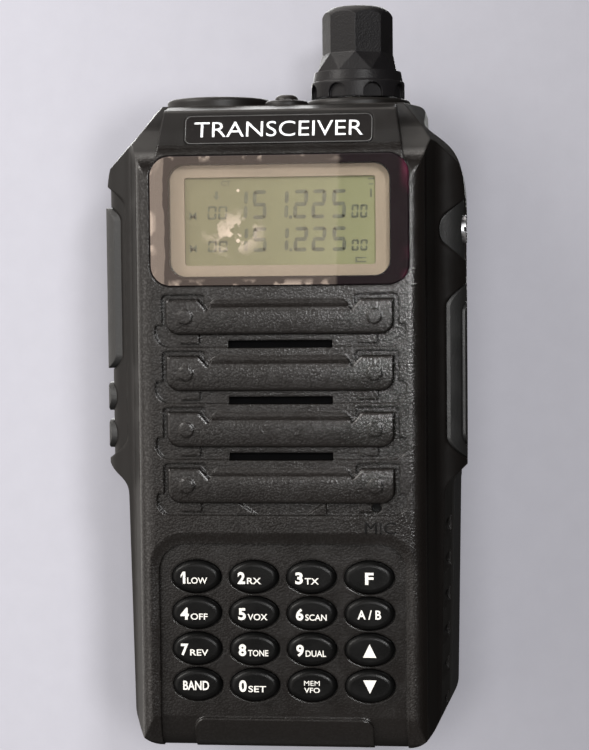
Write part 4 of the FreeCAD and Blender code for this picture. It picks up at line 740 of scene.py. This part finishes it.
def display_readout():
    """Two rows of a plain frequency readout, with small marks. Places are in millimetres."""
    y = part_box("display_panel")[0].y - 0.025 * MM
    bm = bmesh.new()

    def big_digit(digit, x, low, high):
        wide = 0.7 if digit == "1" else 2.35
        add_digit(bm, digit, x * MM, low * MM, wide * MM, high * MM, 0.62 * MM, y)

    def small_zero(x, low, high):
        wide = 1.5 if x < 0 else 1.2
        add_digit(bm, "0", x * MM, low * MM, wide * MM, 0.47 * high * MM, 0.36 * MM, y)

    def bar(x0, x1, z0, z1):
        mark([(x0, z0), (x1, z0), (x1, z1), (x0, z1)])

    def mark(outline):
        add_prism(bm, [(u * MM, v * MM) for u, v in outline], y, y + INK_THICK)

    for low, high in ((88.35, 4.75), (82.95, 4.05)):
        for digit, x in (("1", -6.15), ("5", -4.65), ("1", 0.6), ("2", 2.15), ("2", 5.15), ("5", 8.5)):
            big_digit(digit, x, low, high)
        bar(1.5, 2.0, low, low + 0.55)
        for x in (-12.1, -10.3, 11.75, 13.2):
            small_zero(x, low, high)
        add_words(bm, "M", -15.1 * MM, -13.9 * MM, low * MM, (low + 1.25) * MM, y, INK_THICK, 0.008)
    add_words(bm, "CT", -9.75 * MM, -8.1 * MM, 93.9 * MM, 94.7 * MM, y, INK_THICK, 0.02)
    # an arrow down on the left, and battery marks on the right
    mark([
        (-10.75, 93.0), (-10.3, 93.0), (-10.3, 92.2), (-9.95, 92.2),
        (-10.52, 91.5), (-11.1, 92.2), (-10.75, 92.2),
    ])
    for edges in (
        (14.6, 15.6, 94.6, 94.9), (14.7, 15.4, 93.75, 94.0), (14.9, 15.2, 91.7, 93.1),
        (12.4, 14.2, 81.7, 81.95), (12.4, 14.2, 81.05, 81.3), (12.4, 12.7, 81.3, 81.7),
    ):
        bar(*edges)
    add_piece("display_readout", bm, display_ink(), "case")


# --- window, nameplate and microphone mark -----------------------------------------------------
def window_film():
    """The thin film over the window. Its wandering left edge and its bubbles are in its material."""
    low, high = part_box("display_lens")
    inset = 0.12 * MM
    outline = rounded_outline(low.x + inset, high.x - inset, low.z + inset, high.z - inset, 3.3 * MM, 10)
    bm = bmesh.new()
    add_prism(bm, outline, low.y - 0.09 * MM, low.y - 0.03 * MM)
    add_piece("window_film", bm, protective_film(), "case")


def centred_outline(wide, tall, radius):
    return rounded_outline(-wide / 2, wide / 2, -tall / 2, tall / 2, radius)


def nameplate_marks():
    """A thin edge line round the plate, and a generic word in foil."""
    low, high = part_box("nameplate")
    lean = math.radians(19.6)
    tilt = Matrix.Translation((low + high) / 2) @ Matrix.Rotation(-lean, 4, "X")
    wide, tall, radius, line = 30.9 * MM, 5.0 * MM, 1.0 * MM, 0.16 * MM
    outer = centred_outline(wide, tall, radius)
    inner = centred_outline(wide - 2 * line, tall - 2 * line, radius - line)
    face, sunk = -0.37 * MM, -0.30 * MM      # front and back of the line, from the plate's middle
    bm = bmesh.new()
    rings = []
    for outline, y in ((outer, face), (inner, face), (inner, sunk), (outer, sunk)):
        rings.append([bm.verts.new((x, y, z)) for x, z in outline])
    add_skin(bm, rings + rings[:1])
    bm.transform(tilt)
    edge = metal("plate_edge", (0.09, 0.09, 0.09, 1), 0.42)
    add_piece("nameplate_edge", bm, edge, "case")
    bm = bmesh.new()
    half_wide, half_tall = 13.9 * MM, 1.35 * MM
    add_words(bm, "TRANSCEIVER", -half_wide, half_wide, -half_tall, half_tall, -0.40 * MM, 0.09 * MM, -0.004)
    bm.transform(tilt)
    add_piece("nameplate_word", bm, bright_foil(), "case")


def microphone_mark():
    """Letters moulded on the face under the microphone's port, smoother than the grain."""
    bm = bmesh.new()
    add_words(bm, "MIC", 13.75 * MM, 18.85 * MM, 36.45 * MM, 38.4 * MM, FACE_Y - 0.16 * MM, 0.25 * MM, 0.0)
    smooth = moulded("mark_plastic", rgb(13, 12, 12), 0.45, 3600, 0.01 * MM, specular=0.12)
    add_piece("microphone_mark", bm, smooth, "case")


# --- the cover's strap and the latch's spring --------------------------------------------------
def cover_neck():
    """The rubber strap that joins the accessory cover to its anchor."""
    cover_low, cover_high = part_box("accessory_cover")
    middle_y = (cover_low.y + cover_high.y) / 2
    start, end = cover_high.z - 0.9 * MM, cover_high.z + 1.5 * MM
    ribs, steps = 4, 24
    rings = []
    bm = bmesh.new()
    for i in range(steps + 1):
        share = i / steps
        z = start + (end - start) * share
        rib = 0.10 * MM * math.cos(share * ribs * math.tau)
        half = 2.1 * MM + 0.12 * MM * math.cos(share * math.tau)
        outer, inner = cover_high.x - 0.55 * MM + rib, cover_high.x - 1.45 * MM
        outline = rounded_outline(inner, outer, -half, half, 0.3 * MM, 4)
        rings.append([bm.verts.new((x, middle_y + y, z)) for x, y in outline])
    add_rod(bm, rings)
    neck = add_piece("cover_neck", bm, SATIN, None, smooth=40)
    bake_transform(neck)


def spring_coil():
    """The latch's compression spring, closed at both ends."""
    low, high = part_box("latch_spring")
    centre = (low + high) / 2
    wire = 0.25 * MM
    coil = (high.x - low.x) / 2 - wire
    z0, z1 = low.z + wire, high.z - wire
    turns, steps, sides = 5.5, 200, 8
    active = 0.8             # share of the wire that climbs; the rest lies flat at the ends
    bm = bmesh.new()
    rings = []
    for i in range(steps + 1):
        share = i / steps
        rise = max(-0.5, min(0.5, (share - 0.5) / active)) + 0.5
        a = share * turns * math.tau
        out = Vector((math.cos(a), math.sin(a), 0))
        spot = Vector((centre.x, centre.y, z0 + (z1 - z0) * rise)) + out * coil
        ring = []
        for k in range(sides):
            t = k / sides * math.tau
            ring.append(bm.verts.new(spot + out * wire * math.cos(t) + Vector((0, 0, wire * math.sin(t)))))
        rings.append(ring)
    add_rod(bm, rings)
    spring = add_piece("latch_spring_coil", bm, STEEL, "case", smooth=60)
    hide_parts("latch_spring")
    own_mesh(spring)


# --- studio ------------------------------------------------------------------------------------
def add_ground():
    """The pale ground the radio lies on. It shows to the camera only, and only from the front."""
    half_side = 3.0
    y = cad_high.y + 0.4 * MM
    corners = [(sx * half_side, y, sz * half_side) for sx, sz in ((-1, -1), (1, -1), (1, 1), (-1, 1))]
    mesh_data = bpy.data.meshes.new("ground")
    mesh_data.from_pydata(corners, [], [(0, 1, 2, 3)])
    ground = bpy.data.objects.new("ground", mesh_data)
    bpy.context.scene.collection.objects.link(ground)
    ground.data.materials.append(studio_paper())
    ground.visible_diffuse = False
    ground.visible_glossy = False
    ground.visible_transmission = False
    ground.visible_shadow = False


WHITE = (1.0, 1.0, 1.0)
# name, place, side of the square in metres, watts, colour
LAMPS = (
    ("key_light", (-1.05, -0.70, 1.00), 0.6, 24.0, (1.0, 0.97, 0.93)),
    ("edge_light", (0.25, -0.62, 0.34), 0.12, 3.4, WHITE),
    ("grain_light", (0.09, -0.62, 0.12), 0.08, 1.3, WHITE),
    ("back_light", (-0.15, 0.90, 0.35), 0.6, 6.0, WHITE),
)


def add_lamp(name, place, side, power, colour):
    """A square lamp that points at the middle of the radio and doesn't show to the camera."""
    light = bpy.data.lights.new(name, "AREA")
    light.shape = "RECTANGLE"
    light.size, light.size_y = side, side
    light.energy = power
    light.color = colour
    lamp = bpy.data.objects.new(name, light)
    lamp.location = place
    lamp.rotation_mode = "QUATERNION"
    middle = Vector((0.0, 0.0, 60 * MM))
    lamp.rotation_quaternion = (middle - Vector(place)).to_track_quat("-Z", "Y")
    bpy.context.scene.collection.objects.link(lamp)
    lamp.visible_camera = False


LEFT, FRONT, UP = (-1, 0, 0), (0, -1, 0), (0, 0, 1)
EVEN_GLOW = 0.035
WINDOW_GLOW, SIDE_GLOW, TOP_GLOW, BACK_GLOW, BOUNCE_GLOW = 1.55, 1.05, 2.6, 0.35, 0.25


def add_world():
    """Soft studio surround: a window ahead on the left, paler to the left, dark to the right."""
    world = bpy.data.worlds.new("studio")
    world.use_nodes = True
    g = Nodes(world.node_tree, "ShaderNodeOutputWorld")
    ray = g.node("ShaderNodeTexCoord").outputs["Generated"]

    def facing(direction, low, high):
        """0 to 1 as the ray turns towards a direction, between two cosines."""
        return g.ramp(g.dot(ray, Vector(direction).normalized()), low, high, smooth=True)

    # a window in front and to the left, cut off below along a slanting line and above the eye
    window = g.times(
        facing((-0.57, 0.0, 0.82), -0.035, 0.02), facing(UP, 0.82, 0.38),
        facing(FRONT, 0.10, 0.70), facing(LEFT, -0.50, -0.10),
    )
    side = g.times(facing(LEFT, 0.35, 0.9), facing(UP, -0.6, 0.0))
    above = facing((-0.3, 0.25, 1), 0.78, 0.95)
    behind = facing((-0.75, 0.65, 0.1), 0.5, 1.0)
    bounce = facing((0, -0.6, -1), 0.3, 1.0)
    glow = EVEN_GLOW
    for lobe, strength in (
        (window, WINDOW_GLOW), (side, SIDE_GLOW), (above, TOP_GLOW),
        (behind, BACK_GLOW), (bounce, BOUNCE_GLOW),
    ):
        glow = g.plus(g.times(lobe, strength), glow)
    lit = g.node("ShaderNodeBackground", {"Color": (1.0, 0.95, 0.90, 1.0), "Strength": glow}).outputs[0]
    backdrop = g.node("ShaderNodeBackground", {"Color": (0.72, 0.72, 0.74, 1.0)}).outputs[0]
    seen = g.node("ShaderNodeLightPath").outputs["Is Camera Ray"]
    g.finish(g.mix_shaders(seen, lit, backdrop))
    bpy.context.scene.world = world


def add_camera():
    """Just right of the middle and level with the display, looking a little left and down."""
    place = Vector((34.6, -330.7, 80.2)) * MM
    yaw, pitch, roll = math.radians(5.86), math.radians(3.18), math.radians(-0.58)
    ahead = Vector((-math.sin(yaw) * math.cos(pitch), math.cos(yaw) * math.cos(pitch), -math.sin(pitch)))
    level = Vector((math.cos(yaw), math.sin(yaw), 0))
    rise = level.cross(ahead)
    right = level * math.cos(roll) + rise * math.sin(roll)
    up = rise * math.cos(roll) - level * math.sin(roll)
    data = bpy.data.cameras.new("camera")
    data.lens, data.sensor_width = 92.3, 36.0
    data.clip_start, data.clip_end = 0.01, 20.0
    camera = bpy.data.objects.new("camera", data)
    bpy.context.scene.collection.objects.link(camera)
    turn = Matrix((right, up, -ahead)).transposed().to_4x4()
    camera.matrix_world = Matrix.Translation(place) @ turn
    bpy.context.scene.camera = camera


key_legends()
display_readout()
window_film()
nameplate_marks()
microphone_mark()
cover_neck()
spring_coil()

add_ground()
add_world()
for lamp in LAMPS:
    add_lamp(*lamp)
add_camera()
bpy.context.scene.view_settings.view_transform = "Standard"
